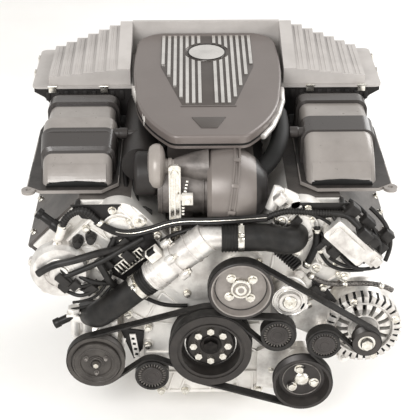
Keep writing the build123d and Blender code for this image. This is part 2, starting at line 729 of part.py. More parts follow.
def smooth_wheel(centre, track, middle):
    """Belt wheel with a smooth track, a slotted web and a bearing bored for its pin."""
    half = WHEEL_WIDTH / 2
    points = [
        (IDLER_PIN + RUNNING_CLEARANCE, middle - 9),
        (17, middle - 9),
        (17, middle - 5),
        (track - 5, middle - 5),
        (track - 5, middle - half),
        (track, middle - half),
        (track, middle + half),
        (track - 5, middle + half),
        (track - 5, middle + 5),
        (17, middle + 5),
        (17, middle + 8),
        (IDLER_PIN + RUNNING_CLEARANCE, middle + 8),
    ]
    with BuildPart() as wheel:
        turn(centre, points)
        with BuildSketch(front(middle + 5)):
            with Locations(centre):
                with PolarLocations((track + 14) / 2, 28):
                    Rectangle(track - 24, 2)
        extrude(amount=-2.5, mode=Mode.SUBTRACT)
    return wheel.part


def wheel_pin(centre, start, middle):
    """Points of a pin and its wide head that hold a belt wheel."""
    return [
        (0, start),
        (IDLER_PIN, start),
        (IDLER_PIN, middle + 8 + SKIN_GAP),
        (14, middle + 8 + SKIN_GAP),
        (14, middle + 11),
        (0, middle + 11),
    ]


half_main = MAIN_RIBS * RIB_PITCH / 2 + LIP_WIDTH
half_ac = AC_RIBS * RIB_PITCH / 2 + LIP_WIDTH
RIM_BACK = MAIN_BELT_PLANE - half_main
RIM_FRONT = MAIN_BELT_PLANE + half_main
AC_RIM_BACK = AC_BELT_PLANE - half_ac
AC_RIM_FRONT = AC_BELT_PLANE + half_ac
CRANK_CENTRE = (0, 0)
DAMPER_HUB_RADIUS = 60.0
DAMPER_RUBBER = 4.0

# Crankshaft damper: hub, rubber ring and grooved outer ring
damper_ring_bore = DAMPER_HUB_RADIUS + DAMPER_RUBBER
with BuildPart() as damper_hub:
    turn(
        CRANK_CENTRE,
        [
            (NOSE_RADIUS, COVER_FRONT + 14),
            (44, COVER_FRONT + 14),
            (44, COVER_FRONT + 30),
            (DAMPER_HUB_RADIUS, COVER_FRONT + 30),
            (DAMPER_HUB_RADIUS, RIM_FRONT),
            (DAMPER_HUB_RADIUS - 4, RIM_FRONT),
            (DAMPER_HUB_RADIUS - 4, HUB_FACE - 8),
            (46, HUB_FACE - 8),
            (46, HUB_FACE),
            (NOSE_RADIUS, HUB_FACE),
        ],
    )
with BuildPart() as damper_rubber:
    turn(
        CRANK_CENTRE,
        [
            (DAMPER_HUB_RADIUS, COVER_FRONT + 32),
            (damper_ring_bore, COVER_FRONT + 32),
            (damper_ring_bore, RIM_FRONT - 2),
            (DAMPER_HUB_RADIUS, RIM_FRONT - 2),
        ],
    )
with BuildPart() as damper_ring:
    turn(
        CRANK_CENTRE,
        [(damper_ring_bore, AC_RIM_BACK)]
        + ribbed_track(DAMPER_TRACK, AC_BELT_PLANE, AC_RIBS)
        + ribbed_track(DAMPER_TRACK, MAIN_BELT_PLANE, MAIN_RIBS)
        + [(damper_ring_bore, RIM_FRONT)],
    )
with BuildPart() as crank_damper:
    add([damper_hub.part, damper_rubber.part, damper_ring.part])
crank_damper.part.label = "crank_damper"
export_step(crank_damper.part, "parts/crank_damper.step")

# Damper bolts
with BuildPart() as damper_bolts:
    bolt_heads(CRANK_CENTRE, HUB_FACE, 33, 8, 7.5, 8)
    disc(CRANK_CENTRE, HUB_FACE, HUB_FACE + 3, 19)
    bolt_heads(CRANK_CENTRE, HUB_FACE + 3, 0, 1, 13, 8)
damper_bolts.part.label = "damper_bolts"
export_step(damper_bolts.part, "parts/damper_bolts.step")

# Water pump pulley with its shaft
SHAFT_RADIUS = 8.0
with BuildPart() as water_pump_pulley:
    turn(
        WATER_PULLEY,
        [(0, 512), (SHAFT_RADIUS, 512), (SHAFT_RADIUS, 551), (20, 551), (20, 556), (49, 556), (49, RIM_BACK)]
        + ribbed_track(WATER_TRACK, MAIN_BELT_PLANE, MAIN_RIBS)
        + [(53, RIM_FRONT), (49, 560), (19, 560), (19, 567), (11, 567), (11, 570), (0, 570)],
    )
    bolt_heads(WATER_PULLEY, 560, 28, 4, 6, 6, 40)
water_pump_pulley.part.label = "water_pump_pulley"
export_step(water_pump_pulley.part, "parts/water_pump_pulley.step")

# Steering pump pulley with its shaft
with BuildPart() as steering_pump_pulley:
    turn(
        STEERING_PULLEY,
        [(0, 520), (SHAFT_RADIUS, 520), (SHAFT_RADIUS, 550), (14, 550), (14, 551), (46, 551), (46, RIM_BACK)]
        + ribbed_track(STEERING_TRACK, MAIN_BELT_PLANE, MAIN_RIBS)
        + [(52, RIM_FRONT), (44, 555), (11, 555), (11, 560), (0, 560)],
    )
    bolt_heads(STEERING_PULLEY, 555, 25, 3, 6.5, 6, 90)
steering_pump_pulley.part.label = "steering_pump_pulley"
export_step(steering_pump_pulley.part, "parts/steering_pump_pulley.step")

# Alternator pulley, shaft and rotor
with BuildPart() as alternator_pulley:
    turn(
        ALTERNATOR_AXIS,
        [(0, 448), (50, 448), (50, 496), (SHAFT_RADIUS, 496), (SHAFT_RADIUS, 528), (18, 528), (18, RIM_BACK)]
        + ribbed_track(ALTERNATOR_TRACK, MAIN_BELT_PLANE, MAIN_RIBS)
        + [(17, RIM_FRONT), (17, 571), (12, 571), (12, 579), (0, 579)],
    )
alternator_pulley.part.label = "alternator_pulley"
export_step(alternator_pulley.part, "parts/alternator_pulley.step")

# Compressor pulley with its clutch plate and shaft
with BuildPart() as compressor_pulley:
    turn(
        AC_AXIS,
        [(0, 440), (SHAFT_RADIUS, 440), (SHAFT_RADIUS, 511), (22, 511), (22, 529)]
        + [(46, 529), (46, AC_RIM_BACK)]
        + ribbed_track(AC_TRACK, AC_BELT_PLANE, AC_RIBS)
        + [
            (49, AC_RIM_FRONT),
            (49, 543),
            (46, 543),
            (46, 551),
            (31, 551),
            (29, 548),
            (16, 548),
            (16, 550),
            (8, 550),
            (8, 555),
            (0, 555),
        ],
    )
    bolt_heads(AC_AXIS, 548, 22, 3, 4, 3, 30)
compressor_pulley.part.label = "compressor_pulley"
export_step(compressor_pulley.part, "parts/compressor_pulley.step")

# Smooth wheels that guide the backs of the belts
tensioner_wheel = smooth_wheel(TENSIONER_PULLEY, TENSIONER_TRACK, MAIN_BELT_PLANE)
guide_wheel = smooth_wheel(GUIDE_PULLEY, GUIDE_TRACK, MAIN_BELT_PLANE)
ac_wheel = smooth_wheel(AC_IDLER, AC_IDLER_TRACK, AC_BELT_PLANE)
smooth_wheels = {
    "tensioner_pulley": tensioner_wheel,
    "guide_pulley": guide_wheel,
    "ac_idler_pulley": ac_wheel,
}
for name, wheel in smooth_wheels.items():
    wheel.label = name
    export_step(wheel, f"parts/{name}.step")

# Belt tensioner body with its pivot pin
with BuildPart() as tensioner_body:
    turn(
        TENSIONER_AXIS,
        [(0, COVER_FRONT), (36, COVER_FRONT), (36, 518), (30, 521), (9, 521), (9, 552), (0, 552)],
    )
    with BuildSketch(front(COVER_FRONT)):
        with Locations(TENSIONER_AXIS):
            with PolarLocations(40, 2, start_angle=60):
                Circle(9)
    extrude(amount=10)
tensioner_body.part.label = "tensioner_body"
export_step(tensioner_body.part, "parts/tensioner_body.step")

# Tensioner arm
with BuildPart() as tensioner_arm:
    turn(
        TENSIONER_AXIS,
        [(9.03, 521.3), (34, 521.3), (34, 546), (30, 548), (22, 548), (20, 554)]
        + [(14, 554), (14, 548), (9.03, 548)],
    )
    with BuildSketch(front(532)):
        with Locations(TENSIONER_AXIS):
            Circle(30)
        with Locations(TENSIONER_PULLEY):
            Circle(15)
        make_hull()
        with Locations(TENSIONER_AXIS):
            Circle(12, mode=Mode.SUBTRACT)
    extrude(amount=12)
    turn(TENSIONER_PULLEY, wheel_pin(TENSIONER_PULLEY, 540, MAIN_BELT_PLANE))
tensioner_arm.part.label = "tensioner_arm"
export_step(tensioner_arm.part, "parts/tensioner_arm.step")


def belt_loop(wheels, shift):
    """Arcs of a belt line round (centre, radius, turn) wheels, moved sideways by shift.

    A turn of 1 has the wheel inside the loop and a turn of -1 has it outside.
    """
    headings = []
    for here, there in zip(wheels, wheels[1:] + wheels[:1]):
        across = (there[0][0] - here[0][0], there[0][1] - here[0][1])
        span = sqrt(across[0] ** 2 + across[1] ** 2)
        step = there[2] * (there[1] + there[2] * shift) - here[2] * (here[1] + here[2] * shift)
        headings.append(atan2(across[1], across[0]) - asin(step / span))
    starts = headings[-1:] + headings[:-1]
    arcs = []
    for (centre, radius, turn), arrive, leave in zip(wheels, starts, headings):
        sweep_angle = turn * (degrees(turn * (leave - arrive)) % 360)
        arcs.append((centre, radius + turn * shift, degrees(arrive) - turn * 90, sweep_angle))
    return arcs


belt_line = BELT_GAP + BELT_THICKNESS / 2
belt_runs = {
    "main_belt": (
        MAIN_BELT_PLANE,
        MAIN_BELT_WIDTH,
        [
            (CRANK_CENTRE, DAMPER_TRACK + belt_line, 1),
            (STEERING_PULLEY, STEERING_TRACK + belt_line, 1),
            (GUIDE_PULLEY, GUIDE_TRACK + belt_line, -1),
            (ALTERNATOR_AXIS, ALTERNATOR_TRACK + belt_line, 1),
            (WATER_PULLEY, WATER_TRACK + belt_line, 1),
            (TENSIONER_PULLEY, TENSIONER_TRACK + belt_line, -1),
        ],
    ),
    "compressor_belt": (
        AC_BELT_PLANE,
        AC_BELT_WIDTH,
        [
            (CRANK_CENTRE, DAMPER_TRACK + belt_line, 1),
            (AC_AXIS, AC_TRACK + belt_line, 1),
            (AC_IDLER, AC_IDLER_TRACK + belt_line, -1),
        ],
    ),
}
for name, (middle, width, wheels) in belt_runs.items():
    with BuildPart() as belt:
        for shift, mode in ((BELT_THICKNESS / 2, Mode.ADD), (-BELT_THICKNESS / 2, Mode.SUBTRACT)):
            with BuildSketch(front(middle - width / 2)):
                with BuildLine():
                    ends = []
                    for centre, radius, start, sweep_angle in belt_loop(wheels, shift):
                        arc = CenterArc(centre, radius, start, sweep_angle)
                        ends.append((arc @ 0, arc @ 1))
                    for here, there in zip(ends, ends[1:] + ends[:1]):
                        Line(here[1], there[0])
                make_face()
            extrude(amount=width, mode=mode)
    belt.part.label = name
    export_step(belt.part, f"parts/{name}.step")

# Coolant housing with the water pump body and two hose necks
BARREL_START = (-110.0, 142.0)
BARREL_END = (-6.0, 228.0)
BARREL_FORWARD = 535.0
BARREL_RADIUS = 29.0
NECK_RADIUS = 21.0
RIGHT_NECK_LENGTH = 42.0
HOSE_GRIP = 16.0
barrel_run = sqrt((BARREL_END[0] - BARREL_START[0]) ** 2 + (BARREL_END[1] - BARREL_START[1]) ** 2)
barrel_way = (
    (BARREL_END[0] - BARREL_START[0]) / barrel_run,
    0,
    (BARREL_END[1] - BARREL_START[1]) / barrel_run,
)
barrel_plane = Plane(
    origin=(BARREL_START[0], -BARREL_FORWARD, BARREL_START[1]), x_dir=(0, -1, 0), z_dir=barrel_way
)
with BuildPart() as coolant_housing:
    with BuildSketch(front(COVER_FRONT)):
        Polygon(
            (-98, 122),
            (-40, 78),
            (92, 84),
            (98, 168),
            (40, 206),
            (-30, 218),
            align=None,
        )
    extrude(amount=12)
    with BuildSketch(barrel_plane):
        Circle(BARREL_RADIUS)
    extrude(amount=barrel_run)
    with BuildSketch(barrel_plane.offset(-24)):
        Circle(NECK_RADIUS)
    extrude(amount=30)
    with BuildSketch(barrel_plane.offset(0.42 * barrel_run)):
        Circle(BARREL_RADIUS + 4)
    extrude(amount=9)
    with BuildSketch(Plane.YZ.offset(BARREL_END[0] - 14)):
        with Locations((-BARREL_FORWARD, BARREL_END[1] - 2)):
            Circle(NECK_RADIUS)
    extrude(amount=14 + RIGHT_NECK_LENGTH)
    with BuildSketch(front(COVER_FRONT)):
        with Locations(WATER_PULLEY):
            Circle(43)
    extrude(amount=40)
    with BuildSketch(front(COVER_FRONT + 10)):
        with Locations(WATER_PULLEY):
            Circle(SHAFT_RADIUS + RUNNING_CLEARANCE)
    extrude(amount=40, mode=Mode.SUBTRACT)
coolant_housing.part.label = "coolant_housing"
export_step(coolant_housing.part, "parts/coolant_housing.step")

# Coolant hoses on the two necks of the coolant housing
HOSE_RADIUS = 25.5
neck_left = barrel_plane.offset(-24).origin
neck_right = (BARREL_END[0] + RIGHT_NECK_LENGTH, -BARREL_FORWARD, BARREL_END[1] - 2)
left_route = [
    (neck_left.X + HOSE_GRIP * barrel_way[0], -BARREL_FORWARD, neck_left.Z + HOSE_GRIP * barrel_way[2]),
    (-176, -BARREL_FORWARD, 142 + (-176 + 110) * barrel_way[2] / barrel_way[0]),
    (-214, -530, 56),
    (-236, -488, 36),
]
right_route = [
    (neck_right[0] - HOSE_GRIP, -BARREL_FORWARD, neck_right[2]),
    (104, -BARREL_FORWARD, neck_right[2]),
    (158, -BARREL_FORWARD, neck_right[2] - 12),
    (158, -COVER_FRONT - 4 - SKIN_GAP, neck_right[2] - 12),
]
with BuildPart() as coolant_hoses:
    for route, radii in ((left_route, (40, 26)), (right_route, (45, 26))):
        with BuildLine() as path:
            FilletPolyline(*route, radius=radii)
        with BuildSketch(Plane(origin=path.line @ 0, z_dir=path.line % 0)):
            Circle(HOSE_RADIUS)
            Circle(NECK_RADIUS + 0.1, mode=Mode.SUBTRACT)
        sweep(path=path.line)
coolant_hoses.part.label = "coolant_hoses"
export_step(coolant_hoses.part, "parts/coolant_hoses.step")

# Alternator with the front bracket that also carries the guide pulley
with BuildPart() as alternator:
    turn(
        ALTERNATOR_AXIS,
        [(0, 432), (58, 432), (68, 440), (71, 448), (71, 500), (64, 514), (44, 522), (0, 522)],
    )
    with BuildSketch(front(500)):
        with Locations(ALTERNATOR_AXIS):
            Circle(SHAFT_RADIUS + RUNNING_CLEARANCE)
    extrude(amount=30, mode=Mode.SUBTRACT)
    with BuildSketch(front(499)):
        with Locations(ALTERNATOR_AXIS):
            with PolarLocations(41, 16):
                Rectangle(22, 8)
    extrude(amount=30, mode=Mode.SUBTRACT)
    with BuildSketch(front(486)):
        with Locations((252, -52)):
            Circle(12)
        with Locations((268, -36)):
            Circle(14)
        make_hull()
        with Locations((252, -52)):
            Circle(5, mode=Mode.SUBTRACT)
    extrude(amount=14)
    turn(ALTERNATOR_AXIS, [(0, 444), (54, 444), (54, 500), (0, 500)], mode=Mode.SUBTRACT)
    with BuildSketch(front(COVER_FRONT)):
        Polygon((138, 24), (150, 54), (206, 78), (240, 62), (240, -20), (216, -18), (186, 0), align=None)
    extrude(amount=12)
    with BuildSketch(front(COVER_FRONT)):
        with Locations(GUIDE_PULLEY):
            Circle(14)
    extrude(amount=MAIN_BELT_PLANE - 12 - COVER_FRONT)
    turn(GUIDE_PULLEY, wheel_pin(GUIDE_PULLEY, 540, MAIN_BELT_PLANE))
alternator.part.label = "alternator"
export_step(alternator.part, "parts/alternator.step")

# Steering pump and its bracket
with BuildPart() as steering_pump:
    turn(
        STEERING_PULLEY,
        [(0, 474), (34, 474), (36, 478), (36, 500), (40, 504), (40, 540), (30, 544), (0, 544)],
    )
    with BuildSketch(front(COVER_FRONT)):
        Polygon((92, -128), (92, -44), (120, -30), (177, -44), (177, -116), (130, -134), align=None)
    extrude(amount=12)
    with BuildSketch(front(516)):
        with Locations(STEERING_PULLEY):
            Circle(SHAFT_RADIUS + RUNNING_CLEARANCE)
    extrude(amount=30, mode=Mode.SUBTRACT)
steering_pump.part.label = "steering_pump"
export_step(steering_pump.part, "parts/steering_pump.step")

# Air conditioning compressor on two lugs beside the bedplate
with BuildPart() as compressor:
    turn(AC_AXIS, [(0, 345), (42, 345), (50, 353), (50, 496), (36, 506), (0, 506)])
    with BuildSketch(front(360)):
        Polygon((-CASE_HALF, -52), (-CASE_HALF, -14), (-190, -20), (-190, -62), align=None)
    extrude(amount=18)
    with BuildSketch(front(404)):
        Polygon((-CASE_HALF, -52), (-CASE_HALF, -14), (-190, -20), (-190, -62), align=None)
    extrude(amount=18)
    with BuildSketch(front(436)):
        with Locations(AC_AXIS):
            Circle(SHAFT_RADIUS + RUNNING_CLEARANCE)
    extrude(amount=80, mode=Mode.SUBTRACT)
    with BuildSketch(Plane.XY.offset(AC_AXIS[1] + 44)):
        with Locations((AC_AXIS[0], -372), (AC_AXIS[0], -392)):
            Circle(8)
    extrude(amount=16)
compressor.part.label = "compressor"
export_step(compressor.part, "parts/compressor.step")

# Vacuum pump on the left head and valve lift motor on the right head
with BuildPart() as vacuum_pump:
    pump_centre = bank_xz(-1, 306, 94)
    pump_back = COVER_FRONT + 4
    turn(
        pump_centre,
        [(0, pump_back), (56, pump_back), (56, 520), (50, 530), (18, 532), (18, 538), (0, 538)],
    )
    with BuildSketch(front(pump_back)):
        with Locations(pump_centre):
            with PolarLocations(52, 5, start_angle=20):
                Circle(9)
    extrude(amount=12)
vacuum_pump.part.label = "vacuum_pump"
export_step(vacuum_pump.part, "parts/vacuum_pump.step")

with BuildPart() as valve_lift_motor:
    motor_centre = bank_xz(1, 330, 32)
    with BuildSketch(front(COVER_FRONT + 4)):
        with Locations(motor_centre):
            Rectangle(96, 44, rotation=-BANK_TILT)
    extrude(amount=32)
    fillet(valve_lift_motor.edges().filter_by(Axis.Y), 6)
    with BuildSketch(front(COVER_FRONT)):
        with Locations(bank_xz(1, 330, 31)):
            Rectangle(40, 30, rotation=-BANK_TILT)
    extrude(amount=4)
    with BuildSketch(front(COVER_FRONT + 12)):
        with Locations(bank_xz(1, 338, 90)):
            Rectangle(24, 30, rotation=-BANK_TILT)
    extrude(amount=20)
valve_lift_motor.part.label = "valve_lift_motor"
export_step(valve_lift_motor.part, "parts/valve_lift_motor.step")

# Exhaust manifolds
LOG_UP = 205.0
LOG_OUT = 137.0
LOG_RADIUS = 24.0
RUNNER_WALL = 3.5
RUNNER_START = 14.0
with BuildPart() as exhaust_manifolds:
    for side in SIDES.values():
        log = bank_xz(side, LOG_UP, LOG_OUT)
        with BuildSketch(front(40)):
            with Locations(log):
                Circle(LOG_RADIUS)
        extrude(amount=355)
        for forward in bore_forwards(side):
            port = bank_xz(side, PORT_UP, HEAD_OUT)
            reach = sqrt((log[0] - port[0]) ** 2 + (log[1] - port[1]) ** 2)
            face_normal = (side * SLANT_COS, 0, -SLANT_SIN)
            runner_way = ((log[0] - port[0]) / reach, 0, (log[1] - port[1]) / reach)
            port_point = (port[0], -forward, port[1])
            flange_plane = Plane(origin=port_point, x_dir=(0, -1, 0), z_dir=face_normal)
            runner_plane = Plane(origin=port_point, x_dir=(0, -1, 0), z_dir=runner_way)
            with BuildSketch(flange_plane):
                Rectangle(78, 36)
            extrude(amount=9)
            with BuildSketch(runner_plane.offset(RUNNER_START)):
                Circle(PORT_RADIUS + RUNNER_WALL)
            extrude(amount=reach - RUNNER_START)
            with BuildSketch(flange_plane):
                Circle(PORT_RADIUS)
            extrude(amount=12, mode=Mode.SUBTRACT)
        with BuildSketch(Plane.XY.offset(log[1])):
            with Locations((log[0], -75)):
                Circle(27)
        extrude(amount=-62)
        with BuildSketch(Plane.XY.offset(log[1] - 62)):
            with Locations((log[0], -75)):
                Circle(44)
                with PolarLocations(36, 3):
                    Circle(4.5, mode=Mode.SUBTRACT)
        extrude(amount=10)
        with BuildSketch(Plane.XY.offset(log[1] - 63)):
            with Locations((log[0], -75)):
                Circle(22)
        extrude(amount=60, mode=Mode.SUBTRACT)
        with BuildSketch(front(44)):
            with Locations(log):
                Circle(LOG_RADIUS - 4)
        extrude(amount=347, mode=Mode.SUBTRACT)
exhaust_manifolds.part.label = "exhaust_manifolds"
export_step(exhaust_manifolds.part, "parts/exhaust_manifolds.step")

# Intake manifold: a plenum in the valley and a round drum in front of it
PLENUM_TOP = 345.0
half_plenum = [(25, 165), (112, 252), (80, 268), (80, PLENUM_TOP)]
plenum_outline = half_plenum + [(-x, z) for x, z in reversed(half_plenum)]
PLENUM_REAR = 30.0
PLENUM_FRONT = 352.0
COVER_STUD_FORWARDS = [62.0, 300.0]
COVER_STUD_OUT = 62.0
COVER_STUD_RADIUS = 9.0


def cover_under(forward):
    """Height of the underside of the tilted engine cover at a distance forward."""
    slope = sin(radians(PLATE_TILT)) / cos(radians(PLATE_TILT))
    top = PLATE_MIDDLE[2] + (PLATE_MIDDLE[1] - forward) * slope
    return top - PLATE_THICKNESS / cos(radians(PLATE_TILT))


drum_axis = Axis((0, -DRUM_FORWARD, DRUM_UP), (1, 0, 0))


def drum_solid(left, right, radius, mouth):
    """Round drum turned about its cross axis, with its right end drawn in."""
    with BuildPart() as drum:
        with BuildSketch(front(DRUM_FORWARD)):
            with BuildLine():
                Polyline(
                    (right, DRUM_UP + radius * 0.43),
                    (right, DRUM_UP),
                    (left, DRUM_UP),
                    (left, DRUM_UP + mouth),
                )
                Line((left, DRUM_UP + mouth), (left + 8, DRUM_UP + radius * 0.95))
                ThreePointArc(
                    (left + 8, DRUM_UP + radius * 0.95), (25, DRUM_UP + radius * 0.99), (50, DRUM_UP + radius)
                )
                ThreePointArc(
                    (50, DRUM_UP + radius),
                    (right - 20, DRUM_UP + radius * 0.7),
                    (right, DRUM_UP + radius * 0.43),
                )
            make_face()
        revolve(axis=drum_axis)
    return drum.part


drum_outside = drum_solid(DRUM_LEFT, DRUM_RIGHT, DRUM_RADIUS, DRUM_RADIUS * 0.85)
drum_room = DRUM_RADIUS - DRUM_WALL
drum_inside = drum_solid(DRUM_LEFT + DRUM_WALL, DRUM_RIGHT - DRUM_WALL, drum_room, DRUM_RADIUS * 0.8)
with BuildPart() as intake_manifold:
    with BuildSketch(front(PLENUM_REAR)):
        Polygon(*plenum_outline, align=None)
    extrude(amount=PLENUM_FRONT - PLENUM_REAR)
    add(drum_outside)
    with BuildSketch(front(PLENUM_FRONT - 6)):
        with Locations((46, DRUM_UP)):
            Rectangle(76, 100)
    extrude(amount=60)
    for side in SIDES.values():
        for forward in bore_forwards(side):
            x, z = bank_xz(side, PORT_UP, -HEAD_IN)
            pad_way = (-side * SLANT_COS, 0, SLANT_SIN)
            pad_plane = Plane(origin=(x, -forward, z), x_dir=(0, -1, 0), z_dir=pad_way)
            with BuildSketch(pad_plane):
                Circle(PORT_RADIUS + 9)
            extrude(amount=8)
    for forward in COVER_STUD_FORWARDS:
        with BuildSketch(Plane.XY.offset(PLENUM_TOP)):
            with Locations((-COVER_STUD_OUT, -forward), (COVER_STUD_OUT, -forward)):
                Circle(COVER_STUD_RADIUS)
        extrude(amount=cover_under(forward + COVER_STUD_RADIUS) - SKIN_GAP - PLENUM_TOP)
    with BuildSketch(front(PLENUM_REAR + DRUM_WALL)):
        Polygon(*plenum_outline, align=None)
        offset(amount=-DRUM_WALL, kind=Kind.INTERSECTION, mode=Mode.REPLACE)
    extrude(amount=PLENUM_FRONT - PLENUM_REAR - 2 * DRUM_WALL, mode=Mode.SUBTRACT)
    add(drum_inside, mode=Mode.SUBTRACT)
    with BuildSketch(front(PLENUM_FRONT - 12)):
        with Locations((46, DRUM_UP)):
            Rectangle(68, 92)
    extrude(amount=68, mode=Mode.SUBTRACT)
    with BuildSketch(Plane.YZ.offset(DRUM_LEFT - 1)):
        with Locations((-DRUM_FORWARD, DRUM_UP)):
            Circle(THROTTLE_BORE)
    extrude(amount=DRUM_WALL + 6, mode=Mode.SUBTRACT)
    for side in SIDES.values():
        for forward in bore_forwards(side):
            x, z = bank_xz(side, PORT_UP, -HEAD_IN)
            pad_way = (-side * SLANT_COS, 0, SLANT_SIN)
            with BuildSketch(Plane(origin=(x, -forward, z), x_dir=(0, -1, 0), z_dir=pad_way)):
                Circle(PORT_RADIUS)
            extrude(amount=14, mode=Mode.SUBTRACT)
intake_manifold.part.label = "intake_manifold"
export_step(intake_manifold.part, "parts/intake_manifold.step")

# Throttle body with its motor, and the flap on its shaft
THROTTLE_LEFT = DRUM_LEFT - THROTTLE_LENGTH
FLAP_X = DRUM_LEFT - THROTTLE_LENGTH / 2
FLAP_SHAFT = 4.0
with BuildPart() as throttle_body:
    with BuildSketch(Plane.YZ.offset(THROTTLE_LEFT)):
        with Locations((-DRUM_FORWARD, DRUM_UP)):
            Circle(THROTTLE_OUTER)
    extrude(amount=THROTTLE_LENGTH)
    with BuildSketch(Plane.XY.offset(DRUM_UP - 80)):
        with Locations((FLAP_X, -DRUM_FORWARD)):
            Circle(20)
    extrude(amount=50)
    with BuildSketch(Plane.XY.offset(DRUM_UP)):
        with Locations((FLAP_X, -DRUM_FORWARD)):
            Circle(10)
    extrude(amount=52)
    with BuildSketch(Plane.YZ.offset(THROTTLE_LEFT)):
        with Locations((-DRUM_FORWARD, DRUM_UP)):
            Circle(THROTTLE_BORE)
    extrude(amount=THROTTLE_LENGTH, mode=Mode.SUBTRACT)
    with BuildSketch(Plane.XY.offset(DRUM_UP - 70)):
        with Locations((FLAP_X, -DRUM_FORWARD)):
            Circle(FLAP_SHAFT + RUNNING_CLEARANCE)
    extrude(amount=118, mode=Mode.SUBTRACT)
throttle_body.part.label = "throttle_body"
export_step(throttle_body.part, "parts/throttle_body.step")

with BuildPart() as throttle_flap:
    with BuildSketch(Plane.YZ.offset(FLAP_X - 1.25)):
        with Locations((-DRUM_FORWARD, DRUM_UP)):
            Circle(THROTTLE_BORE - 0.4)
    extrude(amount=2.5)
    with BuildSketch(Plane.XY.offset(DRUM_UP - 68)):
        with Locations((FLAP_X, -DRUM_FORWARD)):
            Circle(FLAP_SHAFT)
    extrude(amount=114)
throttle_flap.part.label = "throttle_flap"
export_step(throttle_flap.part, "parts/throttle_flap.step")

# Stay that carries the throttle body from the timing case
with BuildPart() as throttle_stay:
    with BuildSketch(front(DRUM_FORWARD + THROTTLE_OUTER + SKIN_GAP)):
        Polygon((-76, 203.2), (-54, 172.8), (-54, 350), (-58, 354), (-72, 354), (-76, 350), align=None)
    extrude(amount=8)
    with BuildSketch(front(DRUM_FORWARD + THROTTLE_OUTER + SKIN_GAP + 8)):
        with Locations((-65, 215), (-65, 338)):
            RegularPolygon(7, 6)
    extrude(amount=5)
throttle_stay.part.label = "throttle_stay"
export_step(throttle_stay.part, "parts/throttle_stay.step")

# Intake pipe from the airbox to the throttle body
PIPE_X = -132.0
PIPE_Z = 318.0
PIPE_RADIUS = 34.0
PIPE_WALL = 3.0
ELBOW_RADIUS = 42.0
ELBOW_LEFT = -140.0
ELBOW_Z = 312.0
PORT_SHARE = 22.0
with BuildPart() as intake_pipe:
    with BuildSketch(Plane.YZ.offset(ELBOW_LEFT)):
        with Locations((-DRUM_FORWARD, ELBOW_Z)):
            Circle(ELBOW_RADIUS)
    extrude(amount=THROTTLE_LEFT - ELBOW_LEFT)
    fillet(intake_pipe.edges().filter_by(GeomType.CIRCLE), 9)
    with BuildSketch(front(AIRBOX_FRONT)):
        with Locations((PIPE_X, PIPE_Z)):
            Circle(PIPE_RADIUS)
    extrude(amount=270)
    with BuildSketch(front(AIRBOX_FRONT)):
        with Locations((PIPE_X, PIPE_Z)):
            Circle(PIPE_RADIUS - PIPE_WALL)
    extrude(amount=267, mode=Mode.SUBTRACT)
    with BuildSketch(Plane.YZ.offset(ELBOW_LEFT + PIPE_WALL)):
        with Locations((-DRUM_FORWARD, ELBOW_Z)):
            Circle(ELBOW_RADIUS - 6)
    extrude(amount=THROTTLE_LEFT - ELBOW_LEFT - 2 * PIPE_WALL, mode=Mode.SUBTRACT)
    with BuildSketch(Plane.YZ.offset(THROTTLE_LEFT - 10)):
        with Locations((-DRUM_FORWARD, (ELBOW_Z + DRUM_UP) / 2)):
            Circle(PORT_SHARE)
    extrude(amount=12, mode=Mode.SUBTRACT)
intake_pipe.part.label = "intake_pipe"
export_step(intake_pipe.part, "parts/intake_pipe.step")

# Airbox base: two wings over the heads and a bridge behind the plenum
wing_outline = [
    (90, 282),
    (166, 282),
    (170, 300),
    (286, 300),
    (316, 316),
    (336, 342),
    (AIRBOX_OUT, 354),
    (AIRBOX_OUT, AIRBOX_LIP),
    (90, AIRBOX_LIP),
]
BRIDGE_FRONT = 26.0
DUCT_PORT = 14.0
with BuildPart() as airbox_base:
    for side in SIDES.values():
        with BuildSketch(front(AIRBOX_REAR)):
            Polygon(*[(side * x, z) for x, z in wing_outline], align=None)
        extrude(amount=AIRBOX_FRONT - AIRBOX_REAR)
    with BuildSketch(Plane.XY.offset(300)):
        with Locations((0, -(AIRBOX_REAR + BRIDGE_FRONT) / 2)):
            Rectangle(200, BRIDGE_FRONT - AIRBOX_REAR)
    extrude(amount=AIRBOX_LIP - 300)
    for side in SIDES.values():
        with BuildSketch(front(AIRBOX_REAR + AIRBOX_WALL)) as wing_room:
            Polygon(*[(side * x, z) for x, z in wing_outline], align=None)
            offset(amount=-AIRBOX_WALL, kind=Kind.INTERSECTION, mode=Mode.REPLACE)
        extrude(amount=AIRBOX_FRONT - AIRBOX_REAR - 2 * AIRBOX_WALL, mode=Mode.SUBTRACT)
        with BuildSketch(front(AIRBOX_FRONT - AIRBOX_WALL - 1)):
            with Locations((side * DUCT_MIDDLE, 325)):
                Rectangle(2 * (DUCT_HALF - DUCT_PORT), 34)
        extrude(amount=AIRBOX_WALL + 2, mode=Mode.SUBTRACT)
    with BuildSketch(Plane.XY.offset(300 + AIRBOX_WALL)):
        with Locations((0, -(AIRBOX_REAR + BRIDGE_FRONT) / 2)):
            Rectangle(200, BRIDGE_FRONT - AIRBOX_REAR - 2 * AIRBOX_WALL)
    extrude(amount=AIRBOX_LIP - 300 - 2 * AIRBOX_WALL, mode=Mode.SUBTRACT)
    with BuildSketch(front(AIRBOX_FRONT - AIRBOX_WALL - 1)):
        with Locations((PIPE_X, PIPE_Z + 2)):
            Circle(PIPE_RADIUS - PIPE_WALL - 3)
    extrude(amount=AIRBOX_WALL + 2, mode=Mode.SUBTRACT)
airbox_base.part.label = "airbox_base"
export_step(airbox_base.part, "parts/airbox_base.step")

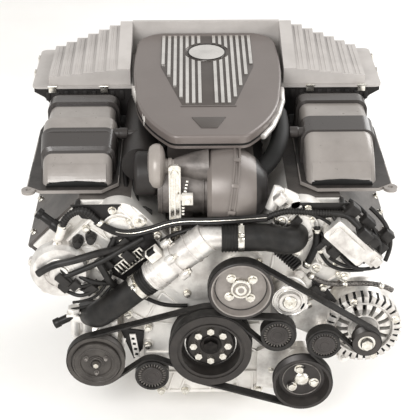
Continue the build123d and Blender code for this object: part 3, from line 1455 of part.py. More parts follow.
# Airbox lid with stepped strips that rise towards the middle
LIP_THICKNESS = 4.0
LID_FRONT = 138.0
LID_REAR = -50.0
LID_WALL = 3.0
STRIP_FRONT_RISE = 2.6
STRIP_REAR_RISE = 9.3
STRIP_WIDTH = (LID_END - LID_INNER) / LID_STEPS
LID_BACK_FRONT = -34.0


def strip_profile(step, inset):
    """Side outline of a lid strip, as (Y, Z) points."""
    front_top = LID_LOW + step * STRIP_FRONT_RISE - inset
    rear_top = LID_LOW + step * STRIP_REAR_RISE - inset
    floor = AIRBOX_LIP - 1 if inset else AIRBOX_LIP + LIP_THICKNESS
    return [
        (-LID_FRONT + inset, floor),
        (-LID_FRONT + inset, front_top),
        (-LID_REAR - 12, rear_top),
        (-LID_REAR - inset, rear_top - 14),
        (-LID_REAR - inset, floor),
    ]


with BuildPart() as airbox_lid:
    with BuildSketch(Plane.XY.offset(AIRBOX_LIP)):
        with Locations((0, -(AIRBOX_FRONT + AIRBOX_REAR) / 2)):
            RectangleRounded(2 * AIRBOX_OUT + 8, AIRBOX_FRONT - AIRBOX_REAR + 8, 14)
        with Locations((0, -(AIRBOX_FRONT + BRIDGE_FRONT) / 2 - 10)):
            Rectangle(180, AIRBOX_FRONT - BRIDGE_FRONT + 20, mode=Mode.SUBTRACT)
    extrude(amount=LIP_THICKNESS)
    for side in SIDES.values():
        for step in range(LID_STEPS + 1):
            outer_x = LID_END - step * STRIP_WIDTH
            width = STRIP_WIDTH if step < LID_STEPS else LID_INNER - WING_IN
            near_x = outer_x - width
            start = near_x if side > 0 else -outer_x
            with BuildSketch(Plane.YZ.offset(start)):
                Polygon(*strip_profile(step, 0), align=None)
            extrude(amount=width)
    with BuildSketch(Plane.YZ.offset(-WING_IN)):
        Polygon(
            (-LID_BACK_FRONT, AIRBOX_LIP + LIP_THICKNESS),
            (-LID_BACK_FRONT, LID_LOW + LID_STEPS * STRIP_REAR_RISE),
            (-LID_REAR - 6, LID_LOW + LID_STEPS * STRIP_REAR_RISE),
            (-LID_REAR, LID_LOW + LID_STEPS * STRIP_REAR_RISE - 14),
            (-LID_REAR, AIRBOX_LIP + LIP_THICKNESS),
            align=None,
        )
    extrude(amount=2 * WING_IN)
    for side in SIDES.values():
        for step in range(LID_STEPS + 1):
            outer_x = LID_END - step * STRIP_WIDTH - (LID_WALL if step == 0 else -0.5)
            width = STRIP_WIDTH if step < LID_STEPS else LID_INNER - WING_IN - LID_WALL
            near_x = LID_END - step * STRIP_WIDTH - width
            start = near_x if side > 0 else -outer_x
            with BuildSketch(Plane.YZ.offset(start)):
                Polygon(*strip_profile(step, LID_WALL), align=None)
            extrude(amount=outer_x - near_x, mode=Mode.SUBTRACT)
airbox_lid.part.label = "airbox_lid"
export_step(airbox_lid.part, "parts/airbox_lid.step")

# Intake ducts over the heads, each on a flat tray with a fixing ear
DUCT_TOP = 358.0
DUCT_FRONT = 442.0
HOOP_RISE = 6.0
duct_floor = TRAY_UNDER + TRAY_THICKNESS
duct_left_x = DUCT_MIDDLE - DUCT_HALF


def duct_block(inset):
    """Duct body between its side walls, drawn in by the inset."""
    with BuildPart() as block:
        with BuildSketch(Plane.YZ.offset(duct_left_x + inset)):
            with BuildLine():
                Polyline(
                    (-DUCT_FRONT + inset, duct_floor),
                    (-AIRBOX_FRONT - SKIN_GAP, duct_floor),
                    (-AIRBOX_FRONT - SKIN_GAP, DUCT_TOP - 8 - inset),
                    (-190, DUCT_TOP - inset),
                    (-300, DUCT_TOP - inset),
                )
                ThreePointArc(
                    (-300, DUCT_TOP - inset),
                    (-390 + inset * 0.6, 337 - inset),
                    (-DUCT_FRONT + inset, duct_floor),
                )
            make_face()
        extrude(amount=2 * (DUCT_HALF - inset))
        long_edges = [
            edge
            for face in (block.faces().sort_by(Axis.X)[0], block.faces().sort_by(Axis.X)[-1])
            for edge in face.edges()
            if edge.center().Z > duct_floor + 10 and edge.center().Y < -AIRBOX_FRONT - 2
        ]
        fillet(long_edges, 18 - inset)
    return block.part


def hoop(start, end, end_top):
    """Raised band across the duct between two distances forward."""
    with BuildPart() as band:
        with BuildSketch(Plane.YZ.offset(duct_left_x - HOOP_RISE)):
            Polygon(
                (-start, duct_floor),
                (-start, DUCT_TOP + HOOP_RISE),
                (-end, end_top + HOOP_RISE),
                (-end, duct_floor),
                align=None,
            )
        extrude(amount=2 * (DUCT_HALF + HOOP_RISE))
        top_edges = [
            edge
            for face in (band.faces().sort_by(Axis.X)[0], band.faces().sort_by(Axis.X)[-1])
            for edge in face.edges()
            if edge.center().Z > DUCT_TOP - 6
        ]
        fillet(top_edges, 22)
    return band.part


duct_outside = duct_block(0)
duct_inside = duct_block(DUCT_WALL)
rear_hoop = hoop(188, 222, DUCT_TOP)
front_hoop = hoop(298, 348, DUCT_TOP - 7)
with BuildPart() as intake_duct_right:
    add([duct_outside, rear_hoop, front_hoop])
    with BuildSketch(Plane.XY.offset(TRAY_UNDER)):
        with BuildLine():
            Polyline(
                (TRAY_IN, -AIRBOX_FRONT - SKIN_GAP),
                (TRAY_OUT - 8, -AIRBOX_FRONT - SKIN_GAP),
                (TRAY_OUT, -AIRBOX_FRONT - 40),
                (TRAY_OUT, -TRAY_FRONT + 20),
                (TRAY_OUT - 26, -TRAY_FRONT),
                (TRAY_IN + 30, -TRAY_FRONT),
                (TRAY_IN, -TRAY_FRONT + 30),
                (TRAY_IN, -AIRBOX_FRONT - SKIN_GAP),
            )
        make_face()
        with Locations((TRAY_OUT - 4, -TRAY_FRONT + 6)):
            Circle(13)
        with Locations((TRAY_OUT - 4, -TRAY_FRONT + 6)):
            Circle(5, mode=Mode.SUBTRACT)
    extrude(amount=TRAY_THICKNESS)
    add(duct_inside, mode=Mode.SUBTRACT)
    with BuildSketch(front(360)):
        with Locations((DUCT_MIDDLE, duct_floor + 16)):
            Rectangle(2 * DUCT_HALF - 28, 24)
    extrude(amount=100, mode=Mode.SUBTRACT)
intake_duct_right.part.label = "intake_duct_right"
export_step(intake_duct_right.part, "parts/intake_duct_right.step")

with BuildPart() as intake_duct_left:
    mirror(intake_duct_right.part, about=Plane.YZ)
intake_duct_left.part.label = "intake_duct_left"
export_step(intake_duct_left.part, "parts/intake_duct_left.step")

# Engine cover, drawn on its own tilted plane with local Y towards the rear
cover_plane = Plane(
    origin=(PLATE_MIDDLE[0], -PLATE_MIDDLE[1], PLATE_MIDDLE[2]),
    x_dir=(1, 0, 0),
    z_dir=(0, -sin(radians(PLATE_TILT)), cos(radians(PLATE_TILT))),
)
cover_corners = [(82, 233), (147, 164), (142, -53), (78, -222), (56, -233)]
cover_bulges = [(131, 214), (150.5, 70), (116, -161), (68, -230.5)]
COVER_EDGE_RADIUS = 5.0
with BuildPart() as engine_cover:
    with BuildSketch(cover_plane) as cover_outline:
        with BuildLine():
            Line((-cover_corners[0][0], cover_corners[0][1]), cover_corners[0])
            for flip in (1, -1):
                for begin, bulge, end in zip(cover_corners, cover_bulges, cover_corners[1:]):
                    stretch = [(flip * x, along) for x, along in (begin, bulge, end)]
                    ThreePointArc(*stretch)
            Line(cover_corners[-1], (-cover_corners[-1][0], cover_corners[-1][1]))
        make_face()
    extrude(amount=-PLATE_SKIRT)
    upward = Axis((0, 0, 0), cover_plane.z_dir)
    fillet(engine_cover.faces().filter_by(upward).sort_by(Axis.Z)[-1].edges(), COVER_EDGE_RADIUS)
    with BuildSketch(cover_plane.offset(-PLATE_SKIRT)):
        add(cover_outline.sketch_local)
        offset(amount=-PLATE_THICKNESS, kind=Kind.INTERSECTION, mode=Mode.REPLACE)
    extrude(amount=PLATE_SKIRT - PLATE_THICKNESS, mode=Mode.SUBTRACT)
engine_cover.part.label = "engine_cover"
export_step(engine_cover.part, "parts/engine_cover.step")

# Bright bars and the bare round disc on the cover
BAR_COUNT = 7
BAR_PITCH = 12.4
BAR_FIRST = 16.0
BAR_WIDTH = 6.4
BAR_HEIGHT = 3.0
BAR_TOP = 211.0
BAR_BOTTOM = -104.0
SHIELD_HALF = 50.0
DISC_CENTRE = 128.0
DISC_RADIUS = 38.0
with BuildPart() as cover_trim:
    with BuildSketch(cover_plane):
        for flip in (1, -1):
            for bar in range(BAR_COUNT):
                x = BAR_FIRST + bar * BAR_PITCH
                bottom = BAR_BOTTOM + max(0, x + BAR_WIDTH / 2 - SHIELD_HALF) * 4
                with Locations((flip * x, (BAR_TOP + bottom) / 2)):
                    Rectangle(BAR_WIDTH, BAR_TOP - bottom)
        with Locations((0, DISC_CENTRE)):
            Circle(DISC_RADIUS + 9, mode=Mode.SUBTRACT)
            Circle(DISC_RADIUS)
    extrude(amount=BAR_HEIGHT)
cover_trim.part.label = "cover_trim"
export_step(cover_trim.part, "parts/cover_trim.step")


BEND_SHARE = 0.45


def cable_radii(route):
    """Largest bend radii that the straight runs of a route allow."""
    points = [Vector(*point) for point in route]
    radii = []
    for before, here, after in zip(points, points[1:], points[2:]):
        arrive = here - before
        leave = after - here
        half_turn = radians(arrive.get_angle(leave)) / 2
        radii.append(BEND_SHARE * min(arrive.length, leave.length) * cos(half_turn) / sin(half_turn))
    return radii


# Wiring looms and thin hoses held on the front of the engine
upper_left_cable = [
    (-288, -512, 224),
    (-272, -511, 240),
    (-248, -510.3, 250),
    (-216, -510.3, 240),
    (-188, -510.3, 222),
    (-141, -510.3, 212),
    (-94, -511, 226),
    (-40, -513, 240),
]
upper_right_cable = [(104, -512, 250), (128, -511, 264), (168, -510, 268), (226, -510, 266)]
right_hose = [(196, -511, 224), (208, -511.3, 196), (206, -511.3, 172), (190, -511.3, 152)]
lower_right_cable = [
    (190, -509, 126),
    (206, -508.3, 104),
    (236, -508.3, 97),
    (290, -511, 103),
    (345, -514, 96),
]
lower_left_cable = [
    (-326, -538.8, 150),
    (-299, -538.8, 177),
    (-246, -538.8, 194),
    (-205, -521, 185),
    (-152, -512, 168),
]
cables = [
    (6.0, upper_left_cable),
    (6.7, upper_right_cable),
    (7.0, right_hose),
    (5.0, lower_right_cable),
    (7.0, lower_left_cable),
]
with BuildPart() as wiring_loom:
    for radius, route in cables:
        with BuildLine() as path:
            FilletPolyline(*route, radius=cable_radii(route))
        with BuildSketch(Plane(origin=path.line @ 0, z_dir=path.line % 0)):
            Circle(radius)
        sweep(path=path.line)
wiring_loom.part.label = "wiring_loom"
export_step(wiring_loom.part, "parts/wiring_loom.step")
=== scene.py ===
"""Complete V8 engine: finishes, fittings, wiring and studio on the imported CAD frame."""

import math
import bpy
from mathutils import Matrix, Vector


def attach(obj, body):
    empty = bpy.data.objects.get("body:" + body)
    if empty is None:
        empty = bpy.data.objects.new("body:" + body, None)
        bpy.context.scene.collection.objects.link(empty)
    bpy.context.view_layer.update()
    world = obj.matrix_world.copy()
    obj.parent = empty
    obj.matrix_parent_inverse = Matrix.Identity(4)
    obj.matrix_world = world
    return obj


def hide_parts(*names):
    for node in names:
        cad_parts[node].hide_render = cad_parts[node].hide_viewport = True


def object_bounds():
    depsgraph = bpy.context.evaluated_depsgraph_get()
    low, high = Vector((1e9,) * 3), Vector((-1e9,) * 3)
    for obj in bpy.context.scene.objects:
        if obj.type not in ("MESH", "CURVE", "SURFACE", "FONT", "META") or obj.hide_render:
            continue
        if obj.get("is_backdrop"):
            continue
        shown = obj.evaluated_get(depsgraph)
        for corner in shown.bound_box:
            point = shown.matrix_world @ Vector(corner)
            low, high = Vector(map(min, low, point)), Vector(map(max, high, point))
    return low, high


bl_info = {
    "name": "Complete V8 Engine",
    "version": (1, 0, 0),
    "blender": (4, 5, 0),
    "location": "3D View > Sidebar > Engine",
    "description": "Dresses the complete V8 engine with its finishes, fittings and wiring",
    "category": "Object",
}

from functools import partial

import bmesh
import bpy
from bpy.props import FloatProperty, FloatVectorProperty, PointerProperty
from bpy.types import Operator, Panel, PropertyGroup
from mathutils import Matrix, Vector

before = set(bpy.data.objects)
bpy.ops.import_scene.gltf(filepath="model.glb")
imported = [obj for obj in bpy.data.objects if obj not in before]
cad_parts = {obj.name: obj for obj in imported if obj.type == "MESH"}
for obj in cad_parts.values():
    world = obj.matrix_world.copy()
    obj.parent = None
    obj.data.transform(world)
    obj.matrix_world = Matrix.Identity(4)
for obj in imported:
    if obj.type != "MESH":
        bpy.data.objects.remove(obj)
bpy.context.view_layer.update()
ROOT = "engine_frame"
BANK = math.sqrt(0.5)
RIGHT, REAR, UP = Vector((1, 0, 0)), Vector((0, 1, 0)), Vector((0, 0, 1))
FRONT = -REAR

# Planes of the front, in millimetres forward
CASE_FACE = 500
MAIN_BELT = 562
COMPRESSOR_BELT = 536
WATER_HUB = 560
STEERING_HUB = 555
ALTERNATOR_FRONT = 522
# Shafts, in millimetres right and up
CRANK = (0, 0)
WATER_PUMP = (56, 133)
STEERING_PUMP = (177, -80)
ALTERNATOR = (296, 14)
COMPRESSOR = (-221, -42)
TENSIONER = (149, 95)
TENSIONER_WHEEL = (126, 34)
GUIDE_WHEEL = (216, 11)
COMPRESSOR_IDLER = (-114, -75)
# The top cover's tilt and the middle of its top
COVER_TILT = math.radians(3.6)
COVER_ORIGIN = (0, 205, 402)
# The thermostat barrel's axis, the right hose's axis and the step between the hoses' ridges
BARREL_START = Vector((-110, 535, 142))
BARREL_END = Vector((-6, 535, 228))
RIGHT_HOSE = (535, 226)
RIDGE_STEP = 6
# The ducts' middle and half width; the airbox lid's outer and inner edge and its strips on each side
DUCT_MIDDLE = 250
DUCT_HALF = 66
LID_OUTER = 326
LID_INNER = 184
LID_STRIPS = 6
# The drum's axis and the intake disc's, forward and up; the lean of the drum's flange
DRUM = (440, 280)
INTAKE_DISC = (447, 329)
FLANGE_LEAN = math.radians(8)
# A radius inside the wall round the throttle's bore, in metres
THROTTLE_WALL = 0.044
# The vacuum pump's place on the left bank, up and out
VACUUM_PUMP = (306, 94)
# Edges sharper than this stay sharp when a piece is smoothed
SHARP_ANGLE = math.radians(32)
# The heads' end bosses, up from the crank, and out from the bank's middle
HEAD_BOSS_UP = 283
HEAD_BOSS_OUT = 42
# Black plastics and rubbers throw back less light than the shader's usual 0.5
DULL = {"Specular IOR Level": 0.28}

# Each finish: name, light and dark colour, patch, grain and relief in millimetres, metallic, roughness and its
# spread, and what else it has; a colour is a hex value or the name of one of the panel's colours
FINISHES = (
    # Sand-cast aluminium, shot-blasted: near white, soft sheen, a grain drawn at 3 mm so it shows
    ("sand-cast aluminium", "casting", "#d6d2cc", 60, 3.0, 0.5, 0.5, 0.42, 0.12, {}),
    # Die-cast aluminium: smoother and a little darker, with flow patches
    ("die-cast aluminium", "#dedbd6", "#bab5b0", 26, 2.2, 0.25, 0.65, 0.36, 0.1, {}),
    # Machined aluminium: bright, with fine turning marks drawn at 1.2 mm
    ("machined aluminium", "#efedea", "#cfccc8", 18, 1.2, 0.05, 1.0, 0.24, 0.06, {}),
    # Ground forged steel: grey and clean, brighter than the castings' shade
    ("ground forged steel", "#a8a49f", "#96928d", 30, 1.4, 0.08, 1.0, 0.28, 0.07, {}),
    # Zinc-plated steel: bright bluish white with a faint yellow drift
    ("zinc-plated steel", "#e6e3dc", "#c2bdb2", 9, 0.9, 0.05, 1.0, 0.26, 0.08, {}),
    # Black-oxide steel: dark oily sheen
    ("black-oxide steel", "#2b2826", "#171514", 12, 1.1, 0.06, 0.8, 0.36, 0.08, {}),
    # Grey cast iron with a skin of light rust: brown-grey and rough
    ("cast iron", "#7d746c", "#4c433d", 17, 2.0, 0.4, 0.6, 0.62, 0.12, {}),
    # Satin paint on pressed steel, a paler grey all over
    ("rubbed pulley rim", "#8f8a85", "#4d4845", 16, 1.2, 0.05, 0.5, 0.36, 0.08, {}),
    # Alternator case: die-cast with turned front, very pale in the studio light
    (
        "turned die-cast case", "#e4e1dc", "#c2bdb7", 20, 2.0, 0.2, 0.6, 0.34, 0.1,
        {"turned": (ALTERNATOR, 3.0, 0.15)},
    ),
    # Hose rubber: matt with a wrapped-cloth print drawn at 2.4 mm and a dusty drift
    ("wrapped hose rubber", "#211f1d", "rubber", 24, 2.4, 0.22, 0.0, 0.46, 0.08, DULL),
    # Belt rubber: duller, chalky where it runs
    ("belt rubber", "#2a2826", "#181615", 14, 1.3, 0.1, 0.0, 0.6, 0.08, DULL),
    # Black glass-filled polyamide: fine spark-eroded skin, grey in the light
    ("glass-filled polyamide", "#292725", "#181615", 20, 1.8, 0.12, 0.0, 0.42, 0.08, DULL),
    # The same black polyamide painted pale grey: a painted highlight on web ribs that catch the light
    ("pale-edged polyamide", "#7d7873", "#625d59", 14, 1.6, 0.08, 0.1, 0.4, 0.07, {}),
    # Duct polyamide: black, blow-moulded and half gloss; its body is painted light grey as a painted sheen, with slow
    # waves of painted reflection, and stays dark across its raised bands
    (
        "blow-moulded duct", "#8f8984", "#827c77", 90, 9.0, 0.2, 0.1, 0.3, 0.06,
        {"bands": ("ducts", ((140, 224), (296, 350))), "Coat Weight": 0.25},
    ),
    (
        "blow-moulded left duct", "#8f8984", "#827c77", 90, 9.0, 0.2, 0.1, 0.3, 0.06,
        {"bands": ("ducts", ((140, 232), (334, 396))), "Coat Weight": 0.25},
    ),
    # Duct trays, pulley rims and other black mouldings: half gloss, slow patches
    ("black moulding", "ducts", "#292624", 55, 6.0, 0.2, 0.0, 0.34, 0.07, DULL),
    # Intake pipe: black moulding with a dull skin
    ("intake pipe moulding", "#2b2826", "#201d1c", 60, 4.0, 0.12, 0.0, 0.44, 0.06, DULL),
    # Drum and plenum: smooth grey-brown moulding with a satin skin; its right end is painted near black as painted
    # shade
    (
        "satin drum moulding", "#746d68", "#6a635f", 160, 3.0, 0.08, 0.15, 0.33, 0.05,
        {"bands": ("#1f1c1b", ((-200, -86),)), "along": "X"},
    ),
    # The round disc beside the drum: the same moulding, paler where the light grazes its rim
    ("pale satin moulding", "#99928c", "#8b847e", 120, 3.0, 0.06, 0.1, 0.3, 0.05, {}),
    # Top cover: satin two-coat paint over a smooth moulding, warm grey
    ("satin painted cover", "top_cover", "#665e5a", 140, 1.4, 0.03, 0.15, 0.36, 0.04, {"Coat Weight": 0.15}),
    # Shaded panel between the ribs of the top cover
    ("shaded cover panel", "#4a4440", "#433d3a", 60, 1.4, 0.04, 0.1, 0.46, 0.06, {}),
    # Airbox lid: filled polypropylene with a leathery skin drawn at 3 mm
    ("filled polypropylene", "airbox", "#a5a09c", 120, 3.0, 0.14, 0.0, 0.5, 0.07, {}),
    # Airbox base: the same, black
    ("black polypropylene", "#2c2928", "#1c1a19", 60, 3.0, 0.14, 0.0, 0.5, 0.07, DULL),
    # Metallised trim: bright satin chrome on plastic
    ("metallised trim", "#e6e3df", "#d3d0cc", 60, 1.0, 0.02, 1.0, 0.2, 0.04, {}),
    # Throttle body: cast magnesium, painted warm grey
    ("painted magnesium", "#6e6864", "#4d4845", 40, 2.6, 0.3, 0.3, 0.4, 0.09, {}),
    # Cam covers: dark satin crinkle paint on magnesium, wrinkles drawn at 3 mm
    ("dark crinkle paint", "#544f4b", "#3f3b38", 45, 3.0, 0.35, 0.1, 0.46, 0.08, {}),
    # Black paint on pressed steel sheet: satin, nearly even
    ("satin black paint", "#262423", "#171615", 30, 1.6, 0.06, 0.2, 0.36, 0.06, DULL),
    # Off-white connector nylon: plain and waxy
    ("natural nylon", "#dedad3", "#c4bfb6", 12, 1.0, 0.04, 0.0, 0.4, 0.06, {}),
    # Painted shadow: near black for the insides of sockets and slots, and for shadow lines and gaps between parts
    ("socket black", "#0f0e0d", "#080807", 12, 1.5, 0.05, 0.0, 0.6, 0.06, DULL),
    # Braided stainless sleeve: bright wires over black, drawn coarse so they show
    ("braided sleeve", "#7d7873", "#1d1b1a", 3.4, 1.6, 0.4, 0.7, 0.4, 0.1, {"stretch": (1, 1, 1.6)}),
    # Seamless studio paper: pale and matt, with a faint drift in tone
    ("studio paper", "floor", "#f1efec", 900, 6.0, 0.02, 0.0, 0.85, 0.04, {}),
)

# Satin paint on the pressed pulleys, turned face to face with faint rings: shaft, its place, fresh and worn colour
PULLEY_PAINTS = (
    ("crank", CRANK, "#282523", "#34302d"),
    ("water pump", WATER_PUMP, "#8d8782", "#7c7671"),
    ("steering pump", STEERING_PUMP, "#34302e", "#2a2725"),
    ("alternator", ALTERNATOR, "#403c39", "#2f2c2a"),
    ("compressor", COMPRESSOR, "#4c4844", "#3a3633"),
)

NODE_FINISHES = {
    "sand-cast aluminium": [
        "engine_block", "bedplate", "oil_pan", "cylinder_head_left", "cylinder_head_right", "timing_case",
        "upper_timing_cover_left", "upper_timing_cover_right",
    ],
    "die-cast aluminium": [
        "steering_pump", "compressor", "vacuum_pump", "valve_lift_motor", "tensioner_body", "tensioner_arm",
        "coolant_housing",
    ],
    "turned die-cast case": ["alternator"],
    "machined aluminium": [f"piston_{number}" for number in range(1, 9)] + ["throttle_flap"],
    "ground forged steel": [
        "crankshaft", "flywheel", "connecting_rods", "valves", "timing_chains", "intake_camshaft_left",
        "intake_camshaft_right", "exhaust_camshaft_left", "exhaust_camshaft_right",
    ],
    "zinc-plated steel": ["damper_bolts", "throttle_stay"],
    "cast iron": ["exhaust_manifolds"],
    "painted pulley of the crank": ["crank_damper"],
    "painted pulley of the water pump": ["water_pump_pulley"],
    "painted pulley of the steering pump": ["steering_pump_pulley"],
    "painted pulley of the alternator": ["alternator_pulley"],
    "painted pulley of the compressor": ["compressor_pulley"],
    "glass-filled polyamide": ["tensioner_pulley", "guide_pulley", "ac_idler_pulley"],
    "belt rubber": ["main_belt", "compressor_belt"],
    "wrapped hose rubber": ["coolant_hoses", "wiring_loom"],
    "dark crinkle paint": ["head_cover_left", "head_cover_right"],
    "painted magnesium": ["throttle_body"],
    "satin drum moulding": ["intake_manifold"],
    "intake pipe moulding": ["intake_pipe"],
    "black polypropylene": ["airbox_base"],
    "filled polypropylene": ["airbox_lid"],
    "blow-moulded duct": ["intake_duct_right"],
    "blow-moulded left duct": ["intake_duct_left"],
    "satin painted cover": ["engine_cover"],
    "metallised trim": ["cover_trim"],
}

# Routes of the looms and hoses, each in millimetres right, forward and up
BREATHER_HOSE = [
    (-274, 510, 236), (-271, 511, 252), (-252, 511, 270), (-230, 511, 273), (-214, 511, 256), (-196, 511, 236),
    (-176, 511, 228),
]
FUEL_PIPES = [
    (-214, 511, 252), (-186, 511, 230), (-150, 511, 222), (-112, 511, 231), (-74, 512, 246), (-40, 516, 252),
    (-20, 522, 254), (20, 527, 258), (64, 527, 261), (104, 516, 258),
]
CABLE_CHANNEL = [
    (-322, 539, 154), (-299, 539, 172), (-252, 539, 182), (-208, 528, 192), (-172, 514, 192), (-146, 511, 196),
]
COIL_LOOM = [(100, 512, 252), (128, 511, 268), (168, 510, 266), (212, 510, 262), (244, 511, 262)]
VENT_HOSE = [(198, 511, 232), (200, 511, 206), (194, 511, 178), (180, 511, 148)]
CHARGE_LEAD = [(186, 509, 130), (208, 508, 112), (240, 508, 106), (292, 510, 110), (330, 512, 106), (348, 512, 94)]

# Thin leads between the front's plugs: name, radius and route
LEADS = (
    ("motor_lead", 3.2, [(296, 540, 232), (306, 538, 226), (314, 530, 212), (318, 524, 192), (312, 520, 176)]),
    ("pump_lead", 3.4, [(-268, 506, 126), (-258, 514, 112), (-238, 520, 104), (-216, 516, 112), (-196, 508, 122)]),
    ("left_lead_a", 4.6, [(-262, 520, 150), (-240, 530, 138), (-214, 532, 128), (-188, 522, 122)]),
    ("left_lead_b", 3.6, [(-286, 524, 118), (-262, 532, 104), (-236, 536, 102), (-212, 524, 112)]),
    ("left_lead_c", 5.4, [(-178, 505, 212), (-186, 510, 196), (-196, 512, 176), (-200, 508, 152)]),
    ("right_lead_a", 6.4, [(226, 512, 262), (246, 514, 262), (262, 522, 256), (276, 532, 242)]),
    ("right_lead_b", 4.2, [(300, 478, 256), (322, 490, 240), (336, 502, 214), (340, 508, 186), (330, 512, 160)]),
    ("right_lead_c", 3.6, [(244, 524, 178), (260, 532, 160), (288, 530, 150), (318, 520, 152)]),
    ("right_lead_d", 3.4, [(206, 505, 178), (216, 512, 160), (234, 514, 146), (262, 512, 138), (290, 508, 138)]),
    ("left_pipe_low", 4.0, [(-134, 505, 84), (-106, 510, 70), (-76, 510, 62), (-44, 506, 60)]),
    ("left_lead_d", 5.6, [(-285, 536, 141), (-243, 536, 158), (-196, 530, 178), (-153, 518, 200), (-125, 510, 212)]),
    ("left_lead_e", 6.4, [(-212, 528, 176), (-199, 530, 152), (-189, 530, 128), (-176, 520, 112)]),
    ("left_lead_f", 2.8, [(-262, 516, 76), (-228, 526, 86), (-201, 528, 112), (-185, 516, 143)]),
    ("left_lead_g", 2.6, [(-268, 512, 58), (-233, 522, 69), (-202, 522, 92), (-178, 508, 122)]),
    ("left_lead_h", 3.4, [(-282, 534, 166), (-262, 540, 136), (-238, 538, 120), (-213, 524, 130)]),
    ("right_lead_e", 4.6, [(246, 502, 274), (262, 514, 254), (278, 526, 236), (301, 526, 218)]),
    ("right_lead_f", 3.8, [(259, 484, 276), (286, 496, 262), (303, 516, 233), (317, 520, 197)]),
    ("right_lead_g", 3.4, [(224, 512, 168), (255, 524, 150), (286, 526, 163), (312, 520, 197)]),
    ("right_lead_h", 3.2, [(199, 508, 229), (223, 518, 201), (248, 522, 178), (267, 512, 151)]),
    ("right_lead_i", 4.0, [(223, 508, 262), (238, 526, 246), (248, 534, 220), (240, 524, 190)]),
    ("centre_lead", 4.2, [(-92, 508, 204), (-74, 514, 219), (-50, 516, 229), (-26, 512, 236)]),
    ("coil_lead", 3.2, [(222, 520, 226), (226, 520, 240), (214, 516, 250), (196, 512, 258), (176, 510, 264)]),
)

# Black plugs, sensors and small boxes: right, forward, up and size
PLUGS = (
    (284, 534, 232, (0.026, 0.03, 0.02)),
    (302, 526, 214, (0.022, 0.026, 0.018)),
    (222, 514, 214, (0.02, 0.022, 0.028)),
    (232, 513, 184, (0.024, 0.02, 0.022)),
    (268, 512, 164, (0.03, 0.018, 0.014)),
    (116, 508, 226, (0.022, 0.014, 0.018)),
    (328, 500, 206, (0.022, 0.022, 0.03)),
    (-277, 538, 142, (0.026, 0.016, 0.016)),
    (-254, 540, 130, (0.016, 0.014, 0.02)),
    (-196, 510, 160, (0.03, 0.012, 0.016)),
    (206, 512, 196, (0.012, 0.014, 0.02)),
    (-271, 536, 128, (0.02, 0.016, 0.026)),
    (-153, 512, 178, (0.026, 0.02, 0.018)),
    (-112, 512, 180, (0.028, 0.024, 0.02)),
    (-227, 524, 112, (0.018, 0.016, 0.024)),
    (-164, 508, 201, (0.014, 0.014, 0.03)),
    (262, 512, 268, (0.022, 0.02, 0.026)),
    (291, 516, 246, (0.026, 0.02, 0.02)),
    (318, 514, 190, (0.02, 0.018, 0.026)),
    (205, 506, 88, (0.03, 0.012, 0.02)),
    (232, 516, 212, (0.02, 0.018, 0.026)),
    (158, 506, 241, (0.014, 0.012, 0.026)),
)

# Bolts of the lower timing case, right and up
CASE_BOLTS = (
    (-140, -84), (-98, -140), (-50, -140), (50, -140), (96, -138), (120, -88), (122, -36), (121, 6),
    (-122, -30), (-121, 10), (-158, 42), (-194, 70), (158, 42), (-58, 160), (-74, 190), (66, 190),
    (-70, -60), (70, -60), (-60, 40), (-100, 120), (110, 120), (190, 62),
)

# Ribs of the lower timing case, from and to (right, up)
CASE_RIBS = (
    ((-36, 30), (-92, 88)), ((-40, 12), (-126, 22)), ((-36, -24), (-96, -60)), ((-24, -40), (-60, -142)),
    ((26, -40), (58, -142)), ((0, -46), (0, -142)), ((42, 8), (96, 16)), ((38, -22), (122, -66)),
    ((-126, -52), (126, -52)), ((-142, -98), (-60, -98)), ((60, -98), (110, -98)),
    ((-124, 24), (-196, 74)), ((124, 24), (196, 74)), ((-60, 112), (-88, 206)), ((-204, 92), (-150, 146)),
    ((104, 66), (120, 170)), ((170, 66), (178, 116)), ((-120, 60), (-120, 150)), ((-160, 60), (-168, 124)),
    ((-92, 88), (-126, 22)), ((-96, -60), (-136, -96)), ((-70, -98), (-84, -144)), ((84, -98), (84, -146)),
)


def linear(code):
    """A hex sRGB colour as linear red, green and blue."""
    shares = [int(code[place : place + 2], 16) / 255 for place in (1, 3, 5)]
    return [s / 12.92 if s <= 0.04045 else ((s + 0.055) / 1.055) ** 2.4 for s in shares]


class EngineSizes(PropertyGroup):
    """Sizes of the fittings that are added to the frame."""

    bolt_width: FloatProperty(
        name="Bolt width", description="Across the corners of a casting bolt's head", default=0.013, unit="LENGTH"
    )
    small_bolt_width: FloatProperty(
        name="Small bolt width", description="Across the corners of a cover bolt's head", default=0.0105, unit="LENGTH"
    )
    rib_width: FloatProperty(
        name="Rib width", description="Width of a stiffening rib on a casting", default=0.004, unit="LENGTH"
    )
    rib_height: FloatProperty(
        name="Rib height", description="How far a rib stands off its casting", default=0.004, unit="LENGTH"
    )
    clamp_width: FloatProperty(
        name="Clamp width", description="Width of a hose clamp's band", default=0.011, unit="LENGTH"
    )
    conduit_pitch: FloatProperty(
        name="Conduit pitch", description="From one ring of a corrugated conduit to the next", default=0.0052,
        unit="LENGTH",
    )


class EngineColours(PropertyGroup):
    """Base colours of the main finishes."""

    casting: FloatVectorProperty(
        name="Castings", description="Sand-cast aluminium", default=linear("#e9e6e1"), size=3, subtype="COLOR"
    )
    top_cover: FloatVectorProperty(
        name="Top cover", description="Satin painted polyamide", default=linear("#6b635f"), size=3, subtype="COLOR"
    )
    airbox: FloatVectorProperty(
        name="Airbox lid", description="Filled polypropylene", default=linear("#b5b0ac"), size=3, subtype="COLOR"
    )
    ducts: FloatVectorProperty(
        name="Ducts", description="Black moulded polyamide", default=linear("#3a3634"), size=3, subtype="COLOR"
    )
    rubber: FloatVectorProperty(
        name="Rubber", description="Hoses and belts", default=linear("#100f0e"), size=3, subtype="COLOR"
    )
    floor: FloatVectorProperty(
        name="Floor", description="Plain studio floor", default=linear("#f7f6f4"), size=3, subtype="COLOR"
    )


